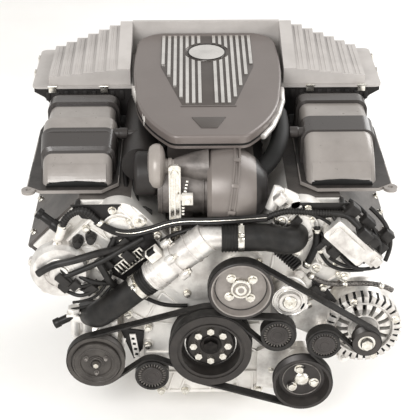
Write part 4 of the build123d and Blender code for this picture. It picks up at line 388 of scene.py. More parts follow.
def at(x, forward, z):
    """A point from millimetres right, forward and up."""
    return Vector((x, -forward, z)) / 1000


def on_bank(side, up, out, forward):
    """A point from a bank's own height and outward place, in millimetres."""
    return at(side * (up + out) * BANK, forward, (up - out) * BANK)


def on_cover(x, rearward, height):
    """A point over the tilted top cover, in millimetres from its middle."""
    turn = Matrix.Rotation(COVER_TILT, 3, "X")
    return at(*COVER_ORIGIN) + turn @ Vector((x, rearward, height)) / 1000


def along_barrel(run, out=0.0, forward=0.0):
    """A point beside the thermostat barrel's axis, in millimetres from its left end."""
    way = (BARREL_END - BARREL_START).normalized()
    place = BARREL_START + way * run + Vector((-way.z, 0, way.x)) * out
    return at(place.x, place.y + forward, place.z)


def turned_to(direction):
    """The turn that takes Z to a direction."""
    return Vector(direction).to_track_quat("Z", "Y").to_matrix().to_4x4()


def leaning(angle):
    """The turn of a piece in the front's plane, clockwise as the front is seen."""
    return Matrix.Rotation(angle, 4, "Y")


SLANT = leaning(math.radians(45))


def on_shaft(shaft, forward):
    """A point on a shaft that runs forward, given by its place to the right and up."""
    return at(shaft[0], forward, shaft[1])


def round_shaft(count, start=0.0):
    """Angles and directions round a shaft that runs forward, in equal steps from the right."""
    angles = [math.radians(start + 360 * index / count) for index in range(count)]
    return [(angle, Vector((math.cos(angle), 0, math.sin(angle)))) for angle in angles]


def add_rod(bm, start, end, radius, end_radius=None, sides=24, edge=0.0):
    """Adds a straight or tapered round solid, its two rims rounded."""
    run = end - start
    made = bmesh.ops.create_cone(
        bm,
        cap_ends=True,
        cap_tris=False,
        segments=sides,
        radius1=radius,
        radius2=radius if end_radius is None else end_radius,
        depth=run.length,
        matrix=Matrix.Translation((start + end) / 2) @ turned_to(run),
    )
    if edge:
        rims = {e for v in made["verts"] for e in v.link_edges if any(len(f.verts) == sides for f in e.link_faces)}
        bevel(bm, rims, edge)


def bevel(bm, edges, size, segments=2):
    """Rounds edges."""
    bmesh.ops.bevel(
        bm, geom=list(edges), offset=size, segments=segments, profile=0.5, affect="EDGES", material=-1,
        clamp_overlap=True,
    )


def add_block(bm, centre, size, turn=None, edge=0.001):
    """Adds a block with rounded edges, turned by a matrix."""
    place = Matrix.Translation(centre) @ (turn or Matrix.Identity(4)) @ Matrix.Diagonal((*size, 1))
    made = bmesh.ops.create_cube(bm, size=1, matrix=place)
    bevel(bm, {e for v in made["verts"] for e in v.link_edges}, edge)


def add_slab(bm, outline, thickness, edge=0.0):
    """Adds a flat outline made solid along a vector."""
    face = bm.faces.new([bm.verts.new(point) for point in outline])
    made = bmesh.ops.extrude_face_region(bm, geom=[face])["geom"]
    tops = [g for g in made if isinstance(g, bmesh.types.BMVert)]
    bmesh.ops.translate(bm, verts=tops, vec=thickness)
    if edge:
        bevel(bm, {e for v in tops for e in v.link_edges}, edge)


def add_turned(bm, centre, axis, outline, steps=48, closed=False):
    """Spins (radius, along) points in millimetres round an axis."""
    side = Vector(axis).orthogonal().normalized()
    points = [bm.verts.new(centre + (side * radius + Vector(axis) * run) / 1000) for radius, run in outline]
    pairs = list(zip(points, points[1:] + points[:1] if closed else points[1:]))
    edges = [bm.edges.new(pair) for pair in pairs]
    bmesh.ops.spin(
        bm, geom=points + edges, cent=centre, axis=axis, angle=2 * math.pi, steps=steps, use_merge=True
    )


def add_ring(bm, centre, axis, inner, outer, start, end, steps=48):
    """Adds a flat-sided ring with eased rims; radii and places along the axis in millimetres."""
    ease = min(outer - inner, end - start) * 0.22
    outline = [
        (inner, start),
        (outer - ease, start),
        (outer, start + ease),
        (outer, end - ease),
        (outer - ease, end),
        (inner + ease, end),
        (inner, end - ease),
    ]
    add_turned(bm, centre, axis, outline, steps, closed=True)


def add_bolt(bm, place, direction, across, height=0.65):
    """Adds a flanged hexagon head that stands on a face."""
    way = Vector(direction).normalized()
    add_rod(bm, place, place + way * across * 0.16, across * 0.66, across * 0.6, sides=20)
    add_rod(bm, place, place + way * across * height, across * 0.5, sides=6, edge=across * 0.05)


def add_bolts_round(bm, centre, axis, circle, count, across, start=0.0):
    """Adds bolts on a circle, in degrees from the right."""
    for _, out in round_shaft(count, start):
        add_bolt(bm, centre + out * circle, axis, across)


def add_rib(bm, start, end, out, width, height):
    """Adds a rib between two points of a casting's face."""
    way = (end - start).normalized()
    side = way.cross(out).normalized() * width / 2
    outline = [start - side, end - side, end + side, start + side]
    add_slab(bm, [point - out * 0.001 for point in outline], out * (height + 0.001), edge=width * 0.3)


def add_front_rib(bm, run, forward, width, height, side=1):
    """Adds a rib between two (right, up) places of a face that looks forward."""
    start, end = (at(side * x, forward, z) for x, z in run)
    add_rib(bm, start, end, FRONT, width, height)


def add_plate(bm, outline, forward, thickness, edge, side=1):
    """Adds a plate that looks forward, from its (right, up) outline in millimetres."""
    add_slab(bm, [at(side * x, forward, z) for x, z in outline], FRONT * thickness, edge=edge)


def add_arch(bm, stations, middle, half, foot):
    """Adds a raised hoop over a duct from (forward, top, rise) stations, in millimetres."""
    loops = []
    for forward, top, rise in stations:
        line = []
        for reach, lift in ((half + rise, top + rise), (half - 2, top - 2)):
            corner = 20
            arc = [(reach, foot)]
            for step in range(7):
                angle = math.radians(15 * step)
                arc.append((reach - corner + corner * math.cos(angle), lift - corner + corner * math.sin(angle)))
            arc += [(-x, z) for x, z in reversed(arc)]
            line += arc if not line else arc[::-1]
        loops.append([bm.verts.new(at(middle + x, forward, z)) for x, z in line])
    for here, there in zip(loops, loops[1:]):
        for index in range(len(here)):
            after = (index + 1) % len(here)
            bm.faces.new((here[index], here[after], there[after], there[index]))
    for loop in (loops[0], loops[-1]):
        last = len(loop) - 1
        for index in range(len(loop) // 2 - 1):
            bm.faces.new((loop[index], loop[index + 1], loop[last - index - 1], loop[last - index]))


def finish_piece(bm, name, finish, body=ROOT):
    """Closes a piece, gives it its finish and hangs it on its body."""
    bmesh.ops.remove_doubles(bm, verts=bm.verts, dist=1e-6)
    bmesh.ops.recalc_face_normals(bm, faces=bm.faces)
    mesh = bpy.data.meshes.new(name)
    bm.to_mesh(mesh)
    bm.free()
    mesh.shade_smooth()
    mesh.set_sharp_from_angle(angle=SHARP_ANGLE)
    hang(name, mesh, finish, body)


def hang(name, data, finish, body=ROOT, stands_for=()):
    """Makes an object with its finish, hangs it on its body and hides the CAD nodes it stands for."""
    data.materials.append(bpy.data.materials[finish])
    piece = bpy.data.objects.new(name, data)
    bpy.context.scene.collection.objects.link(piece)
    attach(piece, body)
    if stands_for:
        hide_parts(*stands_for)


def route_curve(name, points):
    """A smooth curve that follows a route's corner points, given right, forward and up in millimetres."""
    curve = bpy.data.curves.new(name, "CURVE")
    curve.dimensions = "3D"
    curve.resolution_u = 10
    spline = curve.splines.new("NURBS")
    spline.points.add(len(points) - 1)
    for target, place in zip(spline.points, points):
        target.co = (*at(*place), 1)
    spline.order_u = 3
    spline.use_endpoint_u = True
    return curve


def add_tube(name, points, radius, finish, stands_for=()):
    """A smooth tube along a route, with capped ends."""
    curve = route_curve(name, points)
    curve.bevel_depth = radius / 1000
    curve.bevel_resolution = 5
    curve.use_fill_caps = True
    hang(name, curve, finish, stands_for=stands_for)


def route_line(points):
    """The points of a route's own smooth curve."""
    curve = route_curve("route", points)
    holder = bpy.data.objects.new("route", curve)
    mesh = bpy.data.meshes.new_from_object(holder)
    line = [vertex.co.copy() for vertex in mesh.vertices]
    bpy.data.objects.remove(holder)
    bpy.data.curves.remove(curve)
    bpy.data.meshes.remove(mesh)
    return line


def rings_along(bm, points, radius, width, pitch, start=0.0, end=1.0, sides=16):
    """Adds short rings along a route at a pitch; lengths in metres."""
    line = route_line(points)
    spans = [(b - a).length for a, b in zip(line, line[1:])]
    whole = sum(spans)
    wanted = start * whole
    passed = 0.0
    for here, there, span in zip(line, line[1:], spans):
        while wanted <= min(passed + span, end * whole):
            way = (there - here).normalized()
            middle = here + way * (wanted - passed)
            add_rod(bm, middle - way * width / 2, middle + way * width / 2, radius, sides=sides, edge=width * 0.28)
            wanted += pitch
        passed += span


def add_clamp(bm, centre, way, radius, width, screw):
    """Adds a band clamp: band with rolled edges, screw housing and screw."""
    half = width * 500
    rolled = [(radius, -half), (radius + 1.6, -half), (radius + 0.9, -half * 0.6), (radius + 0.9, half * 0.6)]
    add_turned(bm, centre, way, rolled + [(radius + 1.6, half), (radius, half)], closed=True)
    out = Vector(screw).normalized()
    seat = centre + out * (radius + 3.5) / 1000
    across = way.cross(out).normalized()
    turn = Matrix((across, way, out)).transposed().to_4x4()
    add_block(bm, seat, (0.016, width * 0.95, 0.007), turn)
    add_rod(bm, seat - across * 0.012, seat + across * 0.011, 0.0032, sides=12, edge=0.0005)
    add_rod(bm, seat + across * 0.010, seat + across * 0.016, 0.0048, sides=6, edge=0.0005)


def add(tree, kind, settings=None, links=None):
    """Adds a shader node, sets its properties and sockets, and links its inputs."""
    made = tree.nodes.new("ShaderNode" + kind)
    for name, value in (settings or {}).items():
        if isinstance(name, str) and name in made.bl_rna.properties:
            setattr(made, name, value)
        else:
            made.inputs[name].default_value = value
    for name, source in (links or {}).items():
        tree.links.new(source, made.inputs[name])
    return made


def shade(code):
    """A hex colour, or the panel's colour of that name, as linear values."""
    return linear(code) if code.startswith("#") else list(getattr(bpy.context.scene.engine_colours, code))


def make_finish(
    name, light, dark, patch, grain, relief, metallic, roughness, spread, stretch=(1, 1, 1), turned=None, bands=None,
    along="Y", **shader
):
    """Makes a finish that drifts between two colours in patches over a fine grain, sizes in millimetres.

    turned is the (centre, pitch, relief) of tool marks round a shaft; bands is a colour and the stretches of the
    engine, in millimetres forward or to the left, that have it.
    """
    material = bpy.data.materials.new(name)
    material.use_nodes = True
    tree = material.node_tree
    tree.nodes.clear()
    place = add(tree, "TexCoord").outputs["Object"]
    spot = add(tree, "Mapping", {"Scale": stretch}, {"Vector": place}).outputs["Vector"]
    patches = add(
        tree, "TexNoise", {"Scale": 1000 / patch, "Detail": 5.0, "Roughness": 0.62}, {"Vector": spot}
    ).outputs["Fac"]
    share = add(tree, "MapRange", {"From Min": 0.36, "From Max": 0.62}, {"Value": patches}).outputs["Result"]
    colours = {"data_type": "RGBA", 6: (*shade(dark), 1), 7: (*shade(light), 1)}
    colour = add(tree, "Mix", colours, {0: share}).outputs[2]
    if bands:
        other, stretches = bands
        run = add(tree, "SeparateXYZ", {}, {"Vector": place}).outputs[along]
        for start, end in stretches:
            reach = {"operation": "COMPARE", 1: -(start + end) / 2000, 2: (end - start) / 2000}
            inside = add(tree, "Math", reach, {0: run}).outputs["Value"]
            banded = {"data_type": "RGBA", 7: (*shade(other), 1)}
            colour = add(tree, "Mix", banded, {0: inside, 6: colour}).outputs[2]
    grains = add(tree, "TexNoise", {"Scale": 1000 / grain, "Detail": 2.0}, {"Vector": spot}).outputs["Fac"]
    normal = add(tree, "Bump", {"Strength": 0.8, "Distance": relief / 1000}, {"Height": grains}).outputs["Normal"]
    if turned:
        centre, pitch, depth = turned
        shaft = add(tree, "Mapping", {"Location": -on_shaft(centre, 0)}, {"Vector": place}).outputs["Vector"]
        rings = {"wave_type": "RINGS", "rings_direction": "Y", "Distortion": 0.4}
        rings["Scale"] = math.pi / (10 * pitch / 1000)
        marks = add(tree, "TexWave", rings, {"Vector": shaft}).outputs["Fac"]
        cuts = {"Height": marks, "Normal": normal}
        normal = add(tree, "Bump", {"Strength": 0.7, "Distance": depth / 1000}, cuts).outputs["Normal"]
    rough = add(
        tree, "MapRange", {"To Min": roughness - spread, "To Max": roughness + spread}, {"Value": grains}
    ).outputs["Result"]
    links = {"Base Color": colour, "Roughness": rough, "Normal": normal}
    body = add(tree, "BsdfPrincipled", {"Metallic": metallic, **shader}, links)
    add(tree, "OutputMaterial", {}, {"Surface": body.outputs["BSDF"]})


class ENGINE_OT_finishes(Operator):
    """Make the finishes and give each CAD node its own"""

    bl_idname = "engine.finishes"
    bl_label = "Finishes"

    def execute(self, context):
        """Makes every material, then assigns them to the CAD nodes."""
        for *values, more in FINISHES:
            make_finish(*values, **more)
        for shaft, centre, paint, worn in PULLEY_PAINTS:
            name = "painted pulley of the " + shaft
            make_finish(name, paint, worn, 30, 1.6, 0.05, 0.35, 0.36, 0.06, turned=(centre, 3.2, 0.1))
        for finish, nodes in NODE_FINISHES.items():
            for node in nodes:
                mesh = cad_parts[node].data
                mesh.materials.clear()
                mesh.materials.append(bpy.data.materials[finish])
        bare = set(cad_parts) - {node for nodes in NODE_FINISHES.values() for node in nodes}
        if bare:
            raise RuntimeError(f"nodes without a finish: {sorted(bare)}")
        return {"FINISHED"}


def add_studio(scene):
    """Makes the floor, the world, three soft lights and the camera."""
    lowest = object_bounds()[0][2]
    paper = bmesh.new()
    bmesh.ops.create_grid(paper, x_segments=8, y_segments=8, size=9)
    bmesh.ops.translate(paper, verts=paper.verts, vec=(0, 3, lowest - 0.0005))
    mesh = bpy.data.meshes.new("floor")
    paper.to_mesh(mesh)
    paper.free()
    mesh.materials.append(bpy.data.materials["studio paper"])
    floor = bpy.data.objects.new("floor", mesh)
    scene.collection.objects.link(floor)
    floor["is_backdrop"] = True

    world = bpy.data.worlds.new("studio")
    world.use_nodes = True
    backdrop = world.node_tree.nodes["Background"]
    backdrop.inputs["Color"].default_value = (*linear("#fbfaf8"), 1)
    backdrop.inputs["Strength"].default_value = 0.9
    scene.world = world
    scene.view_settings.view_transform = "Standard"

    for name, place, size, power in (
        ("key", (-900, 2300, 1500), 1.3, 46),
        ("fill", (1900, 1900, 700), 1.8, 22),
        ("back", (1700, -1100, 1500), 1.6, 36),
    ):
        light = bpy.data.lights.new(name, "AREA")
        light.shape = "SQUARE"
        light.size = size
        light.energy = power
        lamp = bpy.data.objects.new(name, light)
        lamp.location = at(*place)
        lamp.rotation_euler = (at(0, 300, 150) - lamp.location).to_track_quat("-Z", "Y").to_euler()
        scene.collection.objects.link(lamp)

    lens = bpy.data.cameras.new("camera")
    lens.sensor_width = 36
    lens.lens = 107.14
    camera = bpy.data.objects.new("camera", lens)
    camera.location = at(-35.88, 2534.65, 1365.62)
    camera.rotation_euler = (math.radians(90 - 28.4), 0, math.radians(-1))
    scene.collection.objects.link(camera)
    scene.camera = camera


class ENGINE_OT_stage(Operator):
    """Set the floor, the soft lights and the camera"""

    bl_idname = "engine.stage"
    bl_label = "Studio"

    def execute(self, context):
        """Sets the studio round the finished engine."""
        add_studio(context.scene)
        return {"FINISHED"}


def add_wiring(sizes):
    """Lays each loom along the part's own route, then its conduit rings and clips."""
    stands = ("wiring_loom",)
    add_tube("breather_hose", BREATHER_HOSE, 6.2, "wrapped hose rubber", stands_for=stands)
    for name, lift, out, radius, finish in (
        ("fuel_pipe_upper", 4, 0, 3.1, "satin black paint"),
        ("fuel_pipe_lower", -4, 3, 3.1, "satin black paint"),
        ("fuel_pipe_middle", 0, 1.5, 1.5, "zinc-plated steel"),
    ):
        add_tube(name, [(x, forward + out, z + lift) for x, forward, z in FUEL_PIPES], radius, finish)
    for name, points, radius, finish in (
        ("left_cable_channel", CABLE_CHANNEL, 7.2, "glass-filled polyamide"),
        ("coil_loom", COIL_LOOM, 5.2, "wrapped hose rubber"),
        ("vent_hose", VENT_HOSE, 7.0, "wrapped hose rubber"),
        ("charge_lead", CHARGE_LEAD, 5.0, "braided sleeve"),
    ):
        add_tube(name, points, radius, finish, stands)

    rings = bmesh.new()
    rings_along(rings, COIL_LOOM, 0.0066, 0.003, sizes.conduit_pitch, 0.02, 0.98)
    rings_along(rings, BREATHER_HOSE, 0.0074, 0.003, sizes.conduit_pitch, 0.08, 0.62)
    finish_piece(rings, "conduit_rings", "glass-filled polyamide")

    clips = bmesh.new()
    for route, radius, width, start in (
        (BREATHER_HOSE, 0.0085, 0.009, 0.74),
        (BREATHER_HOSE, 0.0082, 0.007, 0.02),
        (VENT_HOSE, 0.0088, 0.009, 0.06),
        (VENT_HOSE, 0.0088, 0.009, 0.92),
    ):
        rings_along(clips, route, radius, width, 0.2, start, start + 0.02, sides=24)
    rings_along(clips, CHARGE_LEAD, 0.0068, 0.010, 0.07, 0.04, 0.97)
    finish_piece(clips, "loom_clips", "zinc-plated steel")

    elbow = [(-286, 505, 206), (-280, 508, 218), (-276, 510, 230), (-274, 510, 240)]
    add_tube("breather_elbow", elbow, 8.4, "natural nylon")


class ENGINE_OT_wiring(Operator):
    """Lay the looms, thin pipes and their clips on the front of the engine"""

    bl_idname = "engine.wiring"
    bl_label = "Wiring and thin pipes"

    def execute(self, context):
        """Adds the looms, pipes, rings and clips."""
        add_wiring(context.scene.engine_sizes)
        return {"FINISHED"}


def add_hose_fittings(sizes):
    """Adds clamps where hoses grip their necks, ridges, collars, lugs and a temperature plug."""
    way = (along_barrel(10) - along_barrel(0)).normalized()
    clamps = bmesh.new()
    add_clamp(clamps, along_barrel(-28), way, 25.6, sizes.clamp_width, (-0.6, -0.5, 0.6))
    add_clamp(clamps, at(56, *RIGHT_HOSE), RIGHT, 25.6, sizes.clamp_width, (0, -0.5, 0.8))
    finish_piece(clamps, "hose_clamps", "zinc-plated steel")

    ridges = bmesh.new()
    for index in range(4):
        add_ring(ridges, along_barrel(-18 + index * RIDGE_STEP), way, 24.5, 27.4, -1.4, 1.4)
    for index in range(5):
        add_ring(ridges, at(22 + index * RIDGE_STEP, *RIGHT_HOSE), RIGHT, 24.5, 27.2, -1.4, 1.4)
    finish_piece(ridges, "hose_ridges", "wrapped hose rubber")

    collars, bolts = bmesh.new(), bmesh.new()
    for run, radius in ((6, 31), (14, 30.4), (22, 30.4), (99, 31), (112, 30.4)):
        add_ring(collars, along_barrel(run), way, 28.6, radius, -1.8, 1.8)
    for turn in range(3):
        angle = math.radians(-20 + 75 * turn)
        lug = along_barrel(62, 35 * math.cos(angle), 35 * math.sin(angle))
        add_rod(collars, lug - way * 0.008, lug + way * 0.008, 0.0085, edge=0.001)
        add_bolt(bolts, lug + way * 0.008, way, sizes.small_bolt_width)
    for x, z in ((-86, 128), (-44, 92), (86, 94), (90, 160), (36, 196), (-24, 206)):
        add_bolt(bolts, at(x, 512, z), FRONT, sizes.bolt_width)
    finish_piece(collars, "thermostat_collars", "die-cast aluminium")
    finish_piece(bolts, "thermostat_bolts", "zinc-plated steel")

    lean = leaning(math.atan2(way.x, way.z) - math.pi / 2)
    plug, hole = bmesh.new(), bmesh.new()
    add_block(plug, along_barrel(38, 38, 4), (0.026, 0.02, 0.022), lean, 0.0015)
    # The socket's opening is a near-black block: painted shade inside the socket
    add_block(hole, along_barrel(38, 46, 7), (0.017, 0.015, 0.0075), lean)
    finish_piece(plug, "temperature_plug", "natural nylon")
    finish_piece(hole, "temperature_socket", "socket black")


class ENGINE_OT_hose_fittings(Operator):
    """Put the clamps, ridges and plugs on the coolant hoses and the thermostat"""

    bl_idname = "engine.hose_fittings"
    bl_label = "Hose clamps and thermostat"

    def execute(self, context):
        """Adds the fittings of both hoses and of the barrel between them."""
        add_hose_fittings(context.scene.engine_sizes)
        return {"FINISHED"}


def add_cover_band(name, top, bottom, proud, finish):
    """A band round the cover's skirt, made from a copy of the skirt between two heights."""
    skirt = bmesh.new()
    skirt.from_mesh(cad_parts["engine_cover"].data)
    bmesh.ops.remove_doubles(skirt, verts=skirt.verts, dist=1e-6)
    normal = cover_normal()
    for height, way in ((top, normal), (bottom, -normal)):
        parts = skirt.verts[:] + skirt.edges[:] + skirt.faces[:]
        place = on_cover(0, 0, height)
        bmesh.ops.bisect_plane(skirt, geom=parts, dist=1e-7, plane_co=place, plane_no=way, clear_outer=True)
    bmesh.ops.holes_fill(skirt, edges=[e for e in skirt.edges if e.is_boundary], sides=0)
    skirt.normal_update()
    for vertex in skirt.verts:
        out = vertex.normal - normal * vertex.normal.dot(normal)
        if out.length > 1e-4:
            vertex.co += out.normalized() * proud
    finish_piece(skirt, name, finish)


def cover_normal():
    """The direction that the top cover's face looks."""
    return (on_cover(0, 0, 1) - on_cover(0, 0, 0)).normalized()


def add_cover_details():
    """Adds the panel between the ribs, a bare recessed plate, bands round the skirt (one of them a near-black band of
    painted shadow), fins and a bezel.
    """
    normal = cover_normal()
    panel, edge = bmesh.new(), bmesh.new()
    for bm, thickness, rounding, outline in (
        (panel, 0.0009, 0.0003, [(-95, 214), (95, 214), (95, 62), (51, -109), (-51, -109), (-95, 62)]),
        (edge, 0.0016, 0.0004, [(-54, -113), (54, -113), (54, -116), (-54, -116)]),
        (edge, 0.0017, 0.0006, [(-33, -160), (33, -160), (15, -203), (-15, -203)]),
    ):
        add_slab(bm, [on_cover(x, v, -0.5) for x, v in outline], normal * thickness, edge=rounding)
    finish_piece(panel, "cover_panel", "shaded cover panel")
    finish_piece(edge, "cover_recess_plate", "shaded cover panel")
    add_cover_band("cover_rim", -20.5, -27, 0.0013, "satin painted cover")
    # The second band is near black: painted shadow of the gap between the cover and the lid
    add_cover_band("cover_gasket", -16.6, -20.2, 0.0009, "socket black")

    fins, strip, bezel = bmesh.new(), bmesh.new(), bmesh.new()
    for index in range(13):
        share = (index + 0.5) / 13
        place = on_cover(-(147 + (118 - 147) * share), -10 + (-150 + 10) * share, -15)
        add_block(fins, place, (0.012, 0.0045, 0.02), Matrix.Rotation(math.radians(-14), 4, "Z"), 0.0008)
    finish_piece(fins, "cover_side_fins", "die-cast aluminium")
    line = [on_cover(x, v, -21) for x, v in ((149, 0), (146.5, -56), (135, -112), (120, -163), (101, -200))]
    for start, end in zip(line, line[1:]):
        add_rod(strip, start, end, 0.0058, sides=20, edge=0.001)
    finish_piece(strip, "cover_side_strip", "die-cast aluminium")
    outline = [(37.4, 2.6), (39.6, 2.6), (39.9, 3.4), (38.6, 4.1), (37.2, 3.5)]
    add_turned(bezel, on_cover(0, 128, 0), normal, outline, closed=True)
    finish_piece(bezel, "disc_bezel", "black-oxide steel")


class ENGINE_OT_top_cover(Operator):
    """Add the shaded panel, rim, painted shadow line and vents of the top cover"""

    bl_idname = "engine.top_cover"
    bl_label = "Top cover details"

    def execute(self, context):
        """Adds what stands on the top cover's face and skirt."""
        add_cover_details()
        return {"FINISHED"}


def add_lid_details():
    """Adds two fine ribs on each lid strip and a ribbed front wall."""
    strip_width = (LID_OUTER - LID_INNER) / LID_STRIPS
    ribs, slots = bmesh.new(), bmesh.new()
    for side in (-1, 1):
        for step in range(LID_STRIPS):
            outer = LID_OUTER - step * strip_width
            rise_front, rise_rear = 384 + 2.6 * step, 384 + 9.3 * step
            for share in (0.34, 0.68):
                x = side * (outer - share * strip_width)
                base = [at(x, 134, rise_front - 1.0), at(x, -32, rise_rear - 1.6)]
                out = RIGHT.cross(base[1] - base[0]).normalized()
                add_rib(ribs, base[0], base[1], out, 0.0026, 0.0024)
        for index in range(9):
            top = 360 if index < 7 else 358
            add_block(slots, at(side * (176 + index * 19), 147, top - 13), (0.009, 0.0036, 0.02))
    finish_piece(ribs, "lid_fine_ribs", "filled polypropylene")
    finish_piece(slots, "airbox_front_ribs", "black polypropylene")


def add_duct_details():
    """Adds the hoods, near-black crescents of painted shadow and tray skins of both ducts, and the left duct's hoop.
    """
    nose = (312, 205)
    outer_line, inner_line = [], []
    for step in range(7):
        angle = math.radians(35 + 2.2 * step)
        for line, reach in ((outer_line, 154.8), (inner_line, 151.6)):
            line.append((nose[0] + reach * math.cos(angle), nose[1] + reach * math.sin(angle)))
    crescent = [(194, 292), (220, 296), (250, 297.5), (280, 296), (306, 292), (308, 286.5), (192, 286.5)]
    tray_top = [(174, 148), (334, 148), (342, 187), (342, 438), (317, 456), (203, 456), (174, 427)]
    hoods, shadow_crescents, mats = bmesh.new(), bmesh.new(), bmesh.new()
    for side in (-1, 1):
        outline = [at(side * 195, forward, z) for forward, z in outer_line + inner_line[::-1]]
        add_slab(hoods, outline, RIGHT * side * 0.11, edge=0.0006)
        # The crescent under each mouth is near black: painted shadow above the tray
        add_plate(shadow_crescents, crescent, 440, 0.0048, 0.0006, side)
        add_slab(mats, [at(side * x, forward, 285.6) for x, forward in tray_top], UP * 0.0011)
    finish_piece(hoods, "duct_mouth_hoods", "blow-moulded duct")
    finish_piece(shadow_crescents, "duct_mouth_lips", "socket black")
    finish_piece(mats, "tray_skins", "black moulding")

    hoop = bmesh.new()
    stations = ((333, 352.6, 0.5), (337, 352, 7.2), (386, 338.8, 4.8), (391, 336.6, 0.5))
    add_arch(hoop, stations, -DUCT_MIDDLE, DUCT_HALF, 286)
    finish_piece(hoop, "left_duct_hoop", "blow-moulded left duct")


def add_latches():
    """Adds the latches of the lid's front and ends."""
    latches = bmesh.new()
    for side in (-1, 1):
        for x in (110, 212, 318):
            add_block(latches, at(side * x, 151, 362), (0.016, 0.004, 0.016))
            add_rod(latches, at(side * x - 9, 153, 368), at(side * x + 9, 153, 368), 0.0022, sides=12)
        for forward in (60, -20):
            add_block(latches, at(side * 362, forward, 360), (0.0035, 0.016, 0.014))
    finish_piece(latches, "lid_latches", "zinc-plated steel")


class ENGINE_OT_airbox(Operator):
    """Add the lid's fine ribs and latches, and the hoods, painted shadow crescents and hoop of the ducts"""

    bl_idname = "engine.airbox"
    bl_label = "Airbox and ducts"

    def execute(self, context):
        """Adds the lid's ribs, what the ducts below it carry, and the latches."""
        add_lid_details()
        add_duct_details()
        add_latches()
        return {"FINISHED"}


def lift_off_bore(bm, bore, radius):
    """Lifts the vertices that dip into a bore along X onto its upper half, inside its wall"""
    for vert in bm.verts:
        aside = vert.co.y - bore.y
        if abs(aside) < radius:
            vert.co.z = max(vert.co.z, bore.z + math.sqrt(radius ** 2 - aside ** 2))


def add_drum_details():
    """Adds the drum's double flange, its shoulder pipe, the intake disc with its neck and the throttle's rings."""
    drum = at(0, *DRUM)
    flange = bmesh.new()
    lean = Matrix.Rotation(FLANGE_LEAN, 3, "Y")
    across = lean @ RIGHT
    for x in (35.5, 44.5):
        add_ring(flange, drum + RIGHT * x / 1000, across, 78, 83.2, -1.8, 1.8, steps=72)
    for index in range(10):
        angle = math.radians(30 + 36 * index)
        out = lean @ Vector((0, -math.cos(angle), math.sin(angle)))
        turn = Matrix((across, out.cross(across), out)).transposed().to_4x4()
        add_block(flange, drum + out * 0.0825 + RIGHT * 0.040, (0.014, 0.008, 0.004), turn)
    finish_piece(flange, "drum_flange", "satin drum moulding")
    shoulder = [(78, 440, 300), (112, 424, 322), (134, 380, 344), (141, 320, 352), (140, 262, 352)]
    add_tube("drum_shoulder_pipe", shoulder, 17, "socket black")

    disc = [(0, -21), (26, -20), (37, -17), (42, -11), (44, -4), (42.5, 3), (37, 8.5), (26, 11.5), (16, 12.5)]
    disc += [(15, 17), (17, 18), (17, 24), (14.5, 26), (14.5, 32), (0, 32)]
    neck = [(0, 0), (16, 0), (20, 12), (29, 40), (33, 64), (0, 64)]
    for name, finish, x, outline in (
        ("intake_disc", "pale satin moulding", -95, disc),
        ("intake_disc_neck", "painted magnesium", -66, neck),
    ):
        spun = bmesh.new()
        add_turned(spun, at(x, *INTAKE_DISC), RIGHT, outline)
        lift_off_bore(spun, drum, THROTTLE_WALL)
        finish_piece(spun, name, finish)

    rings = bmesh.new()
    for x, radius in ((-12, 49), (-90, 48)):
        add_ring(rings, drum + RIGHT * x / 1000, RIGHT, radius - 4, radius, -1.6, 1.6)
    finish_piece(rings, "throttle_rings", "painted magnesium")


def add_throttle_pipes(sizes):
    """Adds the vent pipes, the ducts' stubs, a ball chain lead and the foot of the pillar."""
    for name, points in (
        ("vent_pipe_a", [(-150, 300, 306), (-148, 380, 300), (-140, 440, 272), (-134, 476, 250), (-132, 498, 244)]),
        ("vent_pipe_b", [(-164, 300, 300), (-163, 380, 292), (-156, 440, 268), (-150, 470, 240), (-146, 498, 226)]),
    ):
        add_tube(name, points, 4.6, "satin black paint")
    sockets, stubs, chain, foot = bmesh.new(), bmesh.new(), bmesh.new(), bmesh.new()
    for x, z in ((-132, 244), (-146, 226)):
        add_rod(sockets, at(x, 496, z), at(x, 508, z), 0.0072, sides=20, edge=0.001)
    finish_piece(sockets, "vent_pipe_sockets", "zinc-plated steel")

    stub = [(0, -14), (7, -14), (7, 6), (10.5, 7), (11, 9), (11, 22), (9.5, 24), (9.5, 34), (0, 34)]
    for side in (-1, 1):
        add_turned(stubs, at(side * 150, 332, 345), RIGHT * side, stub, steps=32)
    finish_piece(stubs, "duct_stubs", "black moulding")

    line = [(-50, 508, 262), (-50, 506, 282), (-46, 500, 304), (-42, 492, 322)]
    rings_along(chain, line, 0.0034, 0.0042, 0.0062)
    finish_piece(chain, "ball_chain_lead", "zinc-plated steel")
    add_tube("ball_chain_core", line, 1.8, "black-oxide steel")

    add_block(foot, at(-42, 506, 292), (0.021, 0.014, 0.02), edge=0.0015)
    add_block(foot, at(-54, 500, 292), (0.012, 0.004, 0.012))
    add_bolt(foot, at(-42, 513, 292), FRONT, sizes.small_bolt_width)
    for x in (-74.6, -65, -55.4):
        add_block(foot, at(x, 496, 266), (0.0026, 0.006, 0.15), edge=0.0008)
    finish_piece(foot, "stay_foot_and_flutes", "natural nylon")


class ENGINE_OT_drum(Operator):
    """Add the seams, clips and small pipes round the intake drum and throttle"""

    bl_idname = "engine.drum"
    bl_label = "Drum and throttle details"

    def execute(self, context):
        """Adds the details of the drum, then what hangs round the throttle."""
        add_drum_details()
        add_throttle_pipes(context.scene.engine_sizes)
        return {"FINISHED"}


